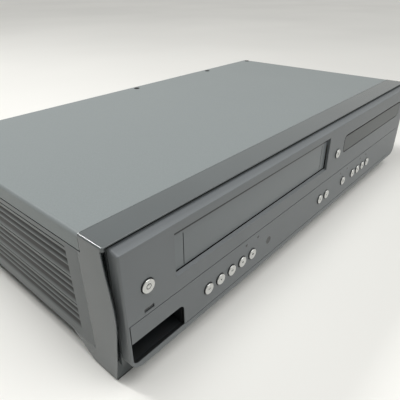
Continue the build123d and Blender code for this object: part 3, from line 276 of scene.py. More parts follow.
@dataclass(frozen=True)
class SeamShadedMoulding(Moulding):
    """The face's ABS, with painted shade: its seam lines, button holes and opening edges go black behind its
    front skin.
    """

    front_mm: float = -119.9
    start_mm: float = 0.3
    full_mm: float = 0.6
    soft_mm: float = 0.3
    border_x_mm: float = 212.5
    border_z_mm: Span = (12.0, 91.5)
    sill_x_mm: Span = (-176.5, 14.5)
    sill_z_mm: float = 57.5

    def painted_shade_mask(self, tree: Tree, place: Output) -> Output | None:
        """Paint shade behind the skin, but not at the face's outer edges or the cassette opening's sill.

        Args:
            tree: the material's node tree.
            place: the Object coordinates.

        Returns:
            The mask, from 0 to 1.
        """
        across, aside, back, up = split_place(tree, place)
        front, soft = self.front_mm, self.soft_mm
        (low, top), (left, right) = self.border_z_mm, self.sill_x_mm
        scored = mask_of(tree, [(back, front + self.start_mm, front + self.full_mm),
                                (aside, self.border_x_mm, self.border_x_mm - soft),
                                (up, top, top - soft), (up, low, low + soft)])
        sill = mask_of(tree, [(across, left, left + soft), (across, right + soft, right),
                              (up, self.sill_z_mm, self.sill_z_mm + soft)])
        off_sill = add_node(tree, "ShaderNodeMath", attributes={"operation": "SUBTRACT"},
                            values={0: 1.0}, links={1: sill}).outputs[0]
        return add_node(tree, "ShaderNodeMath", attributes={"operation": "MULTIPLY"},
                        links={0: scored, 1: off_sill}).outputs[0]


@dataclass(frozen=True)
class FlapShadedMoulding(Moulding):
    """The cassette flap's ABS, with painted shade: its two engraved lines, its ends and its turned-in top
    edge are black.
    """

    front_mm: float = -117.3
    engraved_mm: Span = (0.1, 0.25)
    top_mm: float = 85.3
    top_soft_mm: float = 0.2

    def painted_shade_mask(self, tree: Tree, place: Output) -> Output | None:
        """Paint shade behind the flap's front and along its top edge.

        Args:
            tree: the material's node tree.
            place: the Object coordinates.

        Returns:
            The mask, from 0 to 1.
        """
        _, _, back, up = split_place(tree, place)
        shallow, deep = self.engraved_mm
        behind = mask_of(tree, [(back, self.front_mm + shallow, self.front_mm + deep)])
        top = mask_of(tree, [(up, self.top_mm, self.top_mm + self.top_soft_mm)])
        return add_node(tree, "ShaderNodeMath", attributes={"operation": "MAXIMUM"},
                        links={0: behind, 1: top}).outputs[0]


@dataclass(frozen=True)
class GapShadedMoulding(Moulding):
    """The tray front's ABS, with a black line of painted shade round its rounded edge."""

    node: str = "tray_front"
    corner_mm: float = 3.0
    line_mm: float = 0.8
    soft_mm: float = 0.05

    def painted_shade_mask(self, tree: Tree, place: Output) -> Output | None:
        """Paint shade outside a rounded rectangle, a line's width inside the piece's own outline.

        Args:
            tree: the material's node tree.
            place: the Object coordinates.

        Returns:
            The mask, from 0 to 1.
        """
        low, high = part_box(self.node)
        parts = add_node(tree, "ShaderNodeSeparateXYZ", links={"Vector": place})
        beyond = []
        for axis, name in ((0, "X"), (2, "Z")):
            middle, half = (low[axis] + high[axis]) / 2, (high[axis] - low[axis]) / 2
            value = parts.outputs[name]
            for operation, constant in (("SUBTRACT", middle), ("ABSOLUTE", 0.0),
                                        ("SUBTRACT", half - self.corner_mm * MM), ("MAXIMUM", 0.0)):
                value = add_node(tree, "ShaderNodeMath", attributes={"operation": operation},
                                 values={1: constant}, links={0: value}).outputs[0]
            beyond.append(value)
        flat = add_node(tree, "ShaderNodeCombineXYZ", links={"X": beyond[0], "Y": beyond[1]})
        reach = add_node(tree, "ShaderNodeVectorMath", attributes={"operation": "LENGTH"},
                         links={0: flat.outputs["Vector"]})
        edge = self.corner_mm - self.line_mm
        return mask_of(tree, [(reach.outputs["Value"], edge - self.soft_mm, edge + self.soft_mm)])


@dataclass(frozen=True)
class GrooveShadedMoulding(Moulding):
    """The surround's ABS, with painted shade that turns the groove round the face black."""

    cheek_mm: Span = (217.0, 215.1)
    lip_mm: Span = (98.4, 97.9)
    boot_mm: Span = (16.0, 30.0)

    def painted_shade_mask(self, tree: Tree, place: Output) -> Output | None:
        """Paint shade inside the cheeks, under the strip and above the boots."""
        _, aside, _, up = split_place(tree, place)
        return mask_of(tree, [(aside, *self.cheek_mm), (up, *self.lip_mm), (up, *self.boot_mm)])


@dataclass(frozen=True)
class Enamel:
    """Stoved satin enamel on sheet steel: a soft sheen over a faint orange peel, about 1.5 mm across."""

    name: str
    colour: str
    roughness: float = 0.42
    rough_spread: Span = (-0.04, 0.06)
    peel_mm: float = 1.5
    relief_mm: float = 0.012
    relief_strength: float = 0.3
    cloud_mm: float = 90.0
    fleck_mm: float = 0.8
    fleck: float = 0.035
    fleck_span: Span = (0.3, 0.7)
    specular: float = 0.5

    def material(self) -> Material:
        """Build the material.

        Returns:
            The material.
        """
        material, tree, shader, place = new_material(self.name)
        clouds, peel = (add_node(tree, "ShaderNodeTexNoise", links={"Vector": place},
                                 values={"Scale": 1 / (size * MM), "Detail": detail}).outputs["Fac"]
                        for size, detail in ((self.cloud_mm, 4.0), (self.peel_mm, 3.0)))
        _, colour = clouded(tree, place, srgb(self.colour), (1 - self.fleck, 1 + self.fleck),
                            self.fleck_mm, 1.0, self.fleck_span)
        roughness = (self.roughness + self.rough_spread[0], self.roughness + self.rough_spread[1])
        set_surface(tree, shader, colour, clouds, roughness, peel, self.relief_strength, self.relief_mm)
        shader.inputs["Specular IOR Level"].default_value = self.specular
        return material


@dataclass(frozen=True)
class Metal:
    """Bare or plated metal: ground, turned or rolled, with faint grain lines along one axis."""

    name: str
    colour: str
    roughness: float = 0.3
    rough_spread: Span = (-0.05, 0.08)
    grain_mm: float = 0.5
    stretch: Point = (1.0, 1.0, 1.0)
    relief_mm: float = 0.004
    relief_strength: float = 0.25
    variation: float = 0.06
    grain_span: Span = (0.25, 0.75)

    def material(self) -> Material:
        """Build the material.

        Returns:
            The material.
        """
        material, tree, shader, place = new_material(self.name)
        along = add_node(tree, "ShaderNodeMapping", values={"Scale": self.stretch}, links={"Vector": place})
        grain, colour = clouded(tree, along.outputs["Vector"], srgb(self.colour),
                                (1 - self.variation, 1 + self.variation), self.grain_mm, 3.0, self.grain_span)
        roughness = (self.roughness + self.rough_spread[0], self.roughness + self.rough_spread[1])
        set_surface(tree, shader, colour, grain, roughness, grain, self.relief_strength, self.relief_mm)
        shader.inputs["Metallic"].default_value = 1.0
        return material


@dataclass(frozen=True)
class Laminate:
    """Resin-bonded paper circuit board: tan resin under a printed net of copper tracks about 1.5 mm wide."""

    name: str
    resin: str
    track: str
    cell_mm: float = 20.0
    track_share: float = 0.05
    resin_shade: float = 0.88
    relief_mm: float = 0.05
    relief_strength: float = 0.4
    roughness: float = 0.45

    def material(self) -> Material:
        """Build the material.

        Returns:
            The material.
        """
        material, tree, shader, place = new_material(self.name)
        resin = srgb(self.resin)
        tracks = add_node(tree, "ShaderNodeTexBrick",
                          attributes={"offset": 0.35, "squash": 0.6, "squash_frequency": 3},
                          values={"Scale": 1 / (self.cell_mm * MM), "Mortar Size": self.track_share,
                                  "Color1": resin, "Color2": shade(resin, self.resin_shade),
                                  "Mortar": srgb(self.track)},
                          links={"Vector": place})
        tree.links.new(tracks.outputs["Color"], shader.inputs["Base Color"])
        bump = add_node(tree, "ShaderNodeBump", links={"Height": tracks.outputs["Fac"]},
                        values={"Strength": self.relief_strength, "Distance": self.relief_mm * MM})
        tree.links.new(bump.outputs["Normal"], shader.inputs["Normal"])
        shader.inputs["Roughness"].default_value = self.roughness
        return material


@dataclass(frozen=True)
class TintedWindow:
    """Dark tinted acrylic: smooth, glossy and almost black, with a faint haze from moulding."""

    name: str
    colour: str
    roughness: float
    haze_mm: float = 2.0
    haze: Span = (0.9, 1.15)
    ior: float = 1.49

    def material(self) -> Material:
        """Build the material.

        Returns:
            The material.
        """
        material, tree, shader, place = new_material(self.name)
        _, colour = clouded(tree, place, srgb(self.colour), self.haze, self.haze_mm, 2.0)
        tree.links.new(colour, shader.inputs["Base Color"])
        shader.inputs["Roughness"].default_value = self.roughness
        shader.inputs["IOR"].default_value = self.ior
        return material


class Finishes:
    """Every finish of the deck, each made once."""

    def __init__(self) -> None:
        """Build all the materials."""
        # Stoved enamel: a wide soft sheen along the lid that never turns into a mirror.
        self.lid = Enamel("stoved_satin_enamel_grey", "#868c8c", specular=0.12).material()
        # Lacquered ABS: an even satin grey, with painted shade that draws black lines in its seams and holes.
        self.face = SeamShadedMoulding("abs_face_grey", "#6b6f71", roughness=0.42).material()
        # The same lacquer in a darker grey, so that the tray front reads as a piece of its own; painted shade
        # rings its edge.
        self.tray_front = GapShadedMoulding("abs_tray_front_grey", "#4e5252", roughness=0.4).material()
        # Polished ABS: thin highlights run along the strip and the cheeks, and painted shade blackens the
        # groove round the face.
        self.frame = GrooveShadedMoulding("abs_surround_grey", "#5c6162", roughness=0.2, specular=0.5,
                                     painted_shade_share=0.25).material()
        # Grained ABS: a flat matt wall that only its louvres break, with painted shade in their tops.
        self.side = LouvreShadedMoulding("abs_side_wall_grey", "#5b6061", roughness=0.4).material()
        # Satin ABS with a finer grain: the flap is a little brighter than the face, with painted shade in its
        # lines and along its top edge.
        self.door = FlapShadedMoulding("abs_flap_satin_grey", "#6f7476", roughness=0.3, relief_mm=0.008).material()
        # Plain mouldings: even and matt, told apart by their colour and gloss.
        self.black_plastic = Moulding("abs_black_matt", "#1b1c1c").material()
        self.tray = Moulding("abs_tray_charcoal", "#3a3b3c", roughness=0.45).material()
        self.white_plastic = Moulding("acetal_white", "#dedcd4", roughness=0.35, mottle=0.015).material()
        self.tact_black = Moulding("nylon_black", "#141414", roughness=0.6).material()
        # A near-black lining: painted shade inside the front socket recess.
        self.shade_liner = Moulding("recess_shade_black", "#1b1e20").material()
        self.component = Moulding("moulded_epoxy_black", "#1d1e20", roughness=0.4).material()
        # Chloroprene: dull black that hardly shines.
        self.rubber = Moulding("chloroprene_rubber_black", "#191919", roughness=0.75, grain_mm=0.6).material()
        # Pad printing: flat charcoal ink on the caps.
        self.symbol = Moulding("pad_print_charcoal", "#3b3d3e", mottle=0.02).material()
        # Moulded cores: the clear signal colours of the sockets.
        self.cores = [Moulding(f"socket_core_{name}", colour, roughness=0.4).material() for name, colour in (
            ("yellow", "#d8b32a"), ("white", "#dddcd8"), ("red", "#a8272a"), ("green", "#2f7d45"),
            ("blue", "#2b4f94"))]
        # Satin chrome on ABS: bright caps that show the pale room as a soft blur.
        self.cap = Metal("satin_chrome_on_abs", "#c9cac8", roughness=0.22, grain_mm=0.8,
                         variation=0.03).material()
        # Zinc and tin plating: pale steel with a cloudy shine, the tin a little brighter.
        self.zinc = Metal("zinc_plated_steel", "#a9acad", roughness=0.38, grain_mm=6.0,
                          variation=0.1).material()
        self.tin = Metal("tin_plated_steel", "#b4b5b3", grain_mm=3.0).material()
        # Black zinc: dark screw heads with a faint glint.
        self.black_zinc = Metal("black_zinc_screw", "#2a2b2c", roughness=0.4, variation=0.1).material()
        # Drawn and ground steel: grey wire, and shafts with streaks of light along them.
        self.spring_steel = Metal("spring_steel_wire", "#8c8d8e").material()
        self.steel = Metal("ground_steel", "#c0c2c4", roughness=0.18, grain_mm=0.4,
                           stretch=(1.0, 1.0, 0.05)).material()
        # Turned aluminium and brass: fine rings that pull the light round the piece.
        self.aluminium = Metal("turned_aluminium", "#cfd0d1", roughness=0.22, grain_mm=0.3,
                               stretch=(0.05, 0.05, 1.0)).material()
        self.brass = Metal("turned_brass", "#c9a864", roughness=0.28, grain_mm=0.4).material()
        # Paper phenolic: warm tan boards under dull tracks.
        self.board = Laminate("paper_phenolic_board", "#8a6a3c", "#6d5a2c").material()
        # Smoked acrylic: small dark windows with a clean gloss.
        self.lamp = TintedWindow("smoked_lamp_window", "#2c2f30", roughness=0.2).material()


@dataclass
class StudioSet:
    """Pale floor, plain soft light, and the camera at the photograph's place; in metres and radians.

    The camera was solved from the deck's edges in the photograph: its place, its heading from +Y towards +X,
    its angle below level, its roll and its lens.
    """

    camera_place_mm: Point = (-299.60, -248.48, 209.13)
    heading: float = 0.84544
    dip: float = 0.51020
    roll: float = 0.010807
    lens_mm: float = 35.908
    sensor_mm: float = 36.0
    far_clip: float = 100.0
    floor_half: float = 30.0
    floor_colour: str = "#f1f0eb"
    floor_shades: Span = (0.97, 1.02)
    floor_cloud_mm: float = 2000 / 3
    floor_roughness: float = 0.55
    floor_specular: float = 0.2
    sun_strength: float = 1.95
    sun_spread: float = 1.0
    sun_from: Point = (0.38, -0.6, 1.0)
    lamp_aim: Point = (-0.1, -0.1, 0.1)
    panel_place: Point = (-0.24, 0.02, 0.95)
    panel_side: float = 0.4
    panel_power: float = 3.6
    window_place: Point = (-0.62, 1.36, 1.41)
    window_side: float = 0.25
    window_power: float = 14.0
    world_tint: Colour = (0.97, 0.99, 1.0, 1.0)
    world_strength: float = 0.08
    wall_colour: str = "#f1f0eb"
    wall_strength: float = 0.7

    def camera(self) -> None:
        """Make the camera and set it as the scene's own."""
        data = bpy.data.cameras.new("photo_camera")
        data.lens = self.lens_mm
        data.sensor_width = self.sensor_mm
        data.clip_end = self.far_clip
        level = Vector((math.cos(self.heading), -math.sin(self.heading), 0.0))
        forward = Vector((math.sin(self.heading) * math.cos(self.dip),
                          math.cos(self.heading) * math.cos(self.dip), -math.sin(self.dip)))
        down = forward.cross(level)
        right = level * math.cos(self.roll) + down * math.sin(self.roll)
        up = level * math.sin(self.roll) - down * math.cos(self.roll)
        turn = Matrix((right, up, -forward)).transposed().to_4x4()
        camera = bpy.data.objects.new("photo_camera", data)
        camera.matrix_world = Matrix.Translation(Vector(self.camera_place_mm) * MM) @ turn
        bpy.context.scene.collection.objects.link(camera)
        bpy.context.scene.camera = camera

    def floor(self) -> None:
        """Lay the pale table top that the deck stands on."""
        bm = bmesh.new()
        bmesh.ops.create_grid(bm, x_segments=1, y_segments=1, size=self.floor_half)
        mesh = bpy.data.meshes.new("table_top")
        bm.to_mesh(mesh)
        bm.free()
        table = bpy.data.objects.new("table_top", mesh)
        bpy.context.scene.collection.objects.link(table)
        material, tree, shader, place = new_material("pale_table_top")
        _, colour = clouded(tree, place, srgb(self.floor_colour), self.floor_shades, self.floor_cloud_mm, 2.0)
        tree.links.new(colour, shader.inputs["Base Color"])
        shader.inputs["Roughness"].default_value = self.floor_roughness
        shader.inputs["Specular IOR Level"].default_value = self.floor_specular
        mesh.materials.append(material)

    def area_lamp(self, name: str, place: Point, side: float, power: float) -> None:
        """Hang one soft square lamp that faces the deck.

        Args:
            name: the lamp's name.
            place: where it hangs.
            side: the length of its side.
            power: its power, in watts.
        """
        data = bpy.data.lights.new(name, "AREA")
        data.shape = "SQUARE"
        data.size = side
        data.energy = power
        lamp = bpy.data.objects.new(name, data)
        lamp.location = place
        aim = Vector(self.lamp_aim) - Vector(place)
        lamp.rotation_euler = aim.to_track_quat("-Z", "Y").to_euler()
        bpy.context.scene.collection.objects.link(lamp)

    def sun(self) -> None:
        """Light everything softly from above and a little in front, as a large ceiling panel does."""
        data = bpy.data.lights.new("ceiling_light", "SUN")
        data.energy = self.sun_strength
        data.angle = self.sun_spread
        lamp = bpy.data.objects.new("ceiling_light", data)
        lamp.rotation_euler = Vector(self.sun_from).to_track_quat("Z", "Y").to_euler()
        bpy.context.scene.collection.objects.link(lamp)

    def world(self) -> None:
        """Surround the set with faint even light, shown as a pale wall to the camera, metal and glass."""
        world = bpy.data.worlds.new("soft_room")
        world.use_nodes = True
        tree = world.node_tree
        tree.nodes.clear()
        rays = add_node(tree, "ShaderNodeLightPath")
        seen = rays.outputs["Is Camera Ray"]
        for kind in ("Is Glossy Ray", "Is Transmission Ray"):
            seen = add_node(tree, "ShaderNodeMath", attributes={"operation": "MAXIMUM"},
                            links={0: seen, 1: rays.outputs[kind]}).outputs[0]
        even, wall = (add_node(tree, "ShaderNodeBackground", values={"Color": colour, "Strength": strength})
                      for colour, strength in ((self.world_tint, self.world_strength),
                                               (srgb(self.wall_colour), self.wall_strength)))
        both = add_node(tree, "ShaderNodeMixShader",
                        links={0: seen, 1: even.outputs["Background"], 2: wall.outputs["Background"]})
        add_node(tree, "ShaderNodeOutputWorld", links={"Surface": both.outputs["Shader"]})
        bpy.context.scene.world = world

    def build(self) -> None:
        """Make the whole set."""
        self.camera()
        self.floor()
        self.world()
        self.sun()
        self.area_lamp("ceiling_panel", self.panel_place, self.panel_side, self.panel_power)
        self.area_lamp("rear_window", self.window_place, self.window_side, self.window_power)
        bpy.context.scene.view_settings.view_transform = "Standard"


def beside(axis: Vector) -> Vector:
    """Give a direction square to an axis: upwards, or across for an upright axis."""
    return UPWARD.copy() if abs(axis.z) < 0.9 else Vector((1.0, 0.0, 0.0))


def turned_to(axis: Vector) -> Matrix:
    """Give the turn that brings +Z to an axis and +Y to the direction beside it."""
    up = beside(axis)
    return Matrix((axis.cross(up), up, axis)).transposed().to_4x4()


def lathe(bm: Mesh, profile: list[Span], centre: Vector, axis: Vector, steps: int, slot: int = 0) -> None:
    """Turn a profile round an axis.

    Args:
        bm: the mesh that it joins.
        profile: radius and distance along the axis, in millimetres, from one end to the other.
        centre: the point on the axis that distances start from, in metres.
        axis: the direction of the axis.
        steps: how many sides the turned shape has.
        slot: its material slot.
    """
    out = beside(axis)
    before = set(bm.faces)
    verts = [bm.verts.new(centre + axis * (along * MM) + out * (radius * MM)) for radius, along in profile]
    edges = [bm.edges.new(pair) for pair in zip(verts, verts[1:])]
    bmesh.ops.spin(bm, geom=verts + edges, cent=centre, axis=axis, dvec=(0.0, 0.0, 0.0), angle=math.tau,
                   steps=steps, use_merge=True)
    fresh = [face for face in bm.faces if face not in before]
    bmesh.ops.remove_doubles(bm, verts=list({v for face in fresh for v in face.verts}), dist=0.0005 * MM)
    fresh = [face for face in bm.faces if face not in before]
    for face in fresh:
        face.material_index = slot
    bmesh.ops.recalc_face_normals(bm, faces=fresh)


def prism(bm: Mesh, sides: int, radius_mm: float, centre: Vector, axis: Vector, turn: float, rise_mm: float,
          slot: int = 0, squash: float = 1.0) -> None:
    """Raise a flat regular shape, such as a triangle, square or disc.

    Args:
        bm: the mesh that it joins.
        sides: how many corners it has.
        radius_mm: distance from its middle to a corner.
        centre: the middle of its base, in metres.
        axis: the direction it is raised in.
        turn: how far its first corner is turned, in radians.
        rise_mm: its thickness.
        slot: its material slot.
        squash: its width over its height.
    """
    place = Matrix.Translation(centre) @ turned_to(axis) @ Matrix.Diagonal((squash, 1.0, 1.0, 1.0))
    made = bmesh.ops.create_circle(bm, cap_ends=True, segments=sides, radius=radius_mm * MM,
                                   matrix=place @ Matrix.Rotation(turn, 4, "Z"))
    faces = list({face for v in made["verts"] for face in v.link_faces})
    raised = bmesh.ops.extrude_face_region(bm, geom=faces)["geom"]
    top = [item for item in raised if isinstance(item, bmesh.types.BMVert)]
    bmesh.ops.translate(bm, verts=top, vec=axis * (rise_mm * MM))
    whole = {face for v in top for face in v.link_faces} | set(faces)
    for face in whole:
        face.material_index = slot
    bmesh.ops.recalc_face_normals(bm, faces=list(whole))


def finish_piece(name: str, bm: Mesh, body: str, materials: list[Material],
                 replaced: str | None = None, sharp: float = 32.0) -> None:
    """Turn a finished bmesh into a piece of the deck.

    Args:
        name: the piece's name.
        bm: its mesh, in its place.
        body: the body that it rides on.
        materials: its finishes, in the order of its material slots.
        replaced: the CAD node that it stands for.
        sharp: edges sharper than this, in degrees, stay crisp.
    """
    mesh = bpy.data.meshes.new(name)
    bm.to_mesh(mesh)
    bm.free()
    for polygon in mesh.polygons:
        polygon.use_smooth = True
    mesh.set_sharp_from_angle(angle=math.radians(sharp))
    for material in materials:
        mesh.materials.append(material)
    piece = bpy.data.objects.new(name, mesh)
    bpy.context.scene.collection.objects.link(piece)
    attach(piece, body)
    if replaced:
        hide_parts(replaced)
    LOG.info("piece %s: %d faces", name, len(mesh.polygons))


@dataclass
class DressedNodes:
    """A group of CAD nodes that keep their own shapes and get finishes."""

    finishes: Finishes

    def plan(self) -> list[tuple[Material, tuple[str, ...]]]:
        """Say which nodes get which finish."""
        return []

    def build(self) -> None:
        """Give each node its finish."""
        for material, nodes in self.plan():
            for node in nodes:
                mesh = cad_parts[node].data
                mesh.materials.clear()
                mesh.materials.append(material)
                LOG.info("node %s: %s", node, material.name)


class Casing(DressedNodes):
    """The lid, side walls, surround, face, flap, feet and rear panel."""

    def plan(self) -> list[tuple[Material, tuple[str, ...]]]:
        """List the casing's finishes.

        Returns:
            Each finish with its nodes.
        """
        made = self.finishes
        return [(made.lid, ("top_cover",)), (made.side, ("side_panel_left", "side_panel_right")),
                (made.frame, ("front_frame",)), (made.face, ("face_panel",)), (made.lamp, ("face_lenses",)),
                (made.door, ("cassette_door",)), (made.spring_steel, ("door_spring",)),
                (made.tray_front, ("tray_front",)), (made.rubber, ("foot_pads",)),
                (made.zinc, ("chassis_pan", "rear_panel", "chassis_screws")),
                (made.black_zinc, ("cover_screws",)), (made.black_plastic, ("cord_gland",)),
                (made.tact_black, ("rear_av_jacks", "front_av_jacks")), (made.tin, ("tuner_module",))]


class Insides(DressedNodes):
    """The circuit boards, the tape deck and the disc loader."""

    def plan(self) -> list[tuple[Material, tuple[str, ...]]]:
        """List the finishes inside the casing.

        Returns:
            Each finish with its nodes.
        """
        made = self.finishes
        return [(made.board, ("key_board", "main_board", "power_board")),
                (made.component, ("power_components",)),
                (made.zinc, ("deck_plate", "pinch_arm", "loading_motor", "carriage_frame", "carriage_slider",
                             "cassette_holder", "clamp_bridge")),
                (made.aluminium, ("lower_drum", "upper_drum", "pickup_sled")),
                (made.white_plastic, ("supply_reel", "take_up_reel", "loading_gear", "tray_gear")),
                (made.steel, ("capstan", "lead_screw")), (made.rubber, ("pinch_roller",)),
                (made.brass, ("guide_post_left", "guide_post_right")), (made.tray, ("disc_tray",)),
                (made.black_plastic, ("loader_frame", "traverse_frame", "spindle", "clamper"))]


class Mark(Enum):
    """The transport marks on the push buttons."""

    STANDBY = "standby"
    RECORD = "record"
    STOP = "stop"
    PLAY = "play"
    WIND_LEFT = "wind_left"
    WIND_RIGHT = "wind_right"
    SKIP_LEFT = "skip_left"
    SKIP_RIGHT = "skip_right"
    UP = "up"
    DOWN = "down"
    EJECT = "eject"
    RING = "ring"


@dataclass(frozen=True)
class Stroke:
    """One flat shape of a mark: its corners, size, place beside the middle, turn and squash."""

    sides: int
    size: float
    x: float = 0.0
    z: float = 0.0
    turn: float = 0.0
    squash: float = 1.0


POINTS_LEFT, POINTS_RIGHT, POINTS_UP, POINTS_DOWN = 0.0, math.pi, math.pi / 2, -math.pi / 2
SQUARE_ON = math.pi / 4
STROKES = {
    Mark.STANDBY: (Stroke(4, 0.75, 0.0, 1.0, SQUARE_ON, 0.35),),
    Mark.RECORD: (Stroke(24, 0.95),),
    Mark.STOP: (Stroke(4, 1.0, turn=SQUARE_ON),),
    Mark.PLAY: (Stroke(3, 1.05, turn=POINTS_RIGHT),),
    Mark.WIND_LEFT: (Stroke(3, 0.8, -0.6, turn=POINTS_LEFT), Stroke(3, 0.8, 0.6, turn=POINTS_LEFT)),
    Mark.WIND_RIGHT: (Stroke(3, 0.8, -0.6, turn=POINTS_RIGHT), Stroke(3, 0.8, 0.6, turn=POINTS_RIGHT)),
    Mark.SKIP_LEFT: (Stroke(3, 0.95, 0.2, turn=POINTS_LEFT),
                     Stroke(4, 0.95, -0.8, turn=SQUARE_ON, squash=0.25)),
    Mark.SKIP_RIGHT: (Stroke(3, 0.95, -0.2, turn=POINTS_RIGHT),
                      Stroke(4, 0.95, 0.8, turn=SQUARE_ON, squash=0.25)),
    Mark.UP: (Stroke(3, 1.0, turn=POINTS_UP),),
    Mark.DOWN: (Stroke(3, 1.0, turn=POINTS_DOWN),),
    Mark.EJECT: (Stroke(3, 0.85, 0.0, 0.3, POINTS_UP), Stroke(4, 0.9, 0.0, -0.75, SQUARE_ON)),
    Mark.RING: (),
}
# The ring of a mark, as its inner and outer radius.
RINGS = {Mark.STANDBY: (1.35, 1.75), Mark.RING: (0.75, 1.1)}


@dataclass
class PushButtons:
    """The round satin chrome caps: a flat face inside a rounded rim, and a dark mark printed on its middle.

    Each cap sits on a dark carrier, whose flange stays behind the face and whose stem meets the switch.
    """

    finishes: Finishes
    shell: float = 0.62
    shell_wall: float = 0.5
    rim_radius: float = 0.35
    rim_steps: int = 6
    crown_inset: float = 0.56
    crown_dip: float = 0.02
    dish: float = 0.12
    dish_rise: float = 0.096
    dish_slope: float = 0.25
    carrier_inset: float = 0.08
    carrier_gap: float = 0.03
    flange_extra: float = 0.7
    flange_reach: Span = (3.7, 4.7)
    stem_radius: float = 2.0
    stem_chamfer: float = 0.2
    mark_rise: float = 0.04
    mark_size: float = 0.85
    steps: int = 48
    ring_steps: int = 32
    sharp: float = 50.0
    marks: dict[str, Mark] = field(default_factory=lambda: {
        "power": Mark.STANDBY, "tray": Mark.EJECT, "source": Mark.RING, "tape_rewind": Mark.WIND_LEFT,
        "tape_play": Mark.PLAY, "tape_forward": Mark.WIND_RIGHT, "tape_stop": Mark.STOP,
        "record": Mark.RECORD, "channel_down": Mark.DOWN, "channel_up": Mark.UP,
        "disc_back": Mark.SKIP_LEFT, "disc_forward": Mark.SKIP_RIGHT, "disc_stop": Mark.STOP,
        "disc_play": Mark.PLAY})

    def cap_profile(self, radius: float) -> list[Span]:
        """Draw half a cap.

        Args:
            radius: the cap's radius.

        Returns:
            Radius and depth behind its front, from the middle of its face to the middle of its back.
        """
        rim, face = self.rim_radius, radius - 2 * self.rim_radius
        profile = [(0.0, self.dish), (face - self.dish_slope, self.dish), (face, self.dish_rise),
                   (radius - self.crown_inset, self.crown_dip)]
        for step in range(self.rim_steps + 1):
            turn = math.pi / 2 * step / self.rim_steps
            profile.append((radius - rim + rim * math.sin(turn), rim - rim * math.cos(turn)))
        return profile + [(radius, self.shell), (radius - self.shell_wall, self.shell), (0.0, self.shell)]

    def carrier_profile(self, radius: float, depth: float) -> list[Span]:
        """Draw half a carrier.

        Args:
            radius: the radius of its cap.
            depth: how far the button reaches behind its cap's front.

        Returns:
            Radius and depth behind the cap's front, from the carrier's front to the end of its stem.
        """
        front = self.shell + self.carrier_gap
        inset, wide = radius - self.carrier_inset, radius + self.flange_extra
        near, far = self.flange_reach
        stem, chamfer = self.stem_radius, self.stem_chamfer
        return [(0.0, front), (inset, front), (inset, near), (wide, near), (wide, far), (stem, far),
                (stem, depth - chamfer), (stem - chamfer, depth), (0.0, depth)]

    def mark(self, bm: Mesh, kind: Mark, middle: Vector) -> None:
        """Print one mark.

        Args:
            bm: the button's mesh.
            kind: which mark it is.
            middle: the middle of the cap's face, in metres.
        """
        rise = self.mark_rise
        if kind in RINGS:
            inner, outer = RINGS[kind]
            ring = [(inner, 0.0), (inner, rise), (outer, rise), (outer, 0.0)]
            lathe(bm, ring, middle, TO_FRONT, self.ring_steps, 1)
        for stroke in STROKES[kind]:
            place = middle + Vector((stroke.x, 0.0, stroke.z)) * MM
            prism(bm, stroke.sides, self.mark_size * stroke.size, place, TO_FRONT, stroke.turn, rise, 1,
                  stroke.squash)

    def build(self) -> None:
        """Make every button in the place of its CAD node."""
        for key, kind in self.marks.items():
            low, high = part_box(f"{key}_button")
            radius = (high[0] - low[0]) / 2 / MM - self.flange_extra
            front = Vector(((low[0] + high[0]) / 2, low[1], (low[2] + high[2]) / 2))
            bm = bmesh.new()
            lathe(bm, self.cap_profile(radius), front, TO_REAR, self.steps)
            lathe(bm, self.carrier_profile(radius, (high[1] - low[1]) / MM), front, TO_REAR, self.steps, 1)
            self.mark(bm, kind, front + TO_REAR * (self.dish * MM))
            finish_piece(f"{key}_cap", bm, f"{key}_key",
                         [self.finishes.cap, self.finishes.symbol], f"{key}_button", self.sharp)


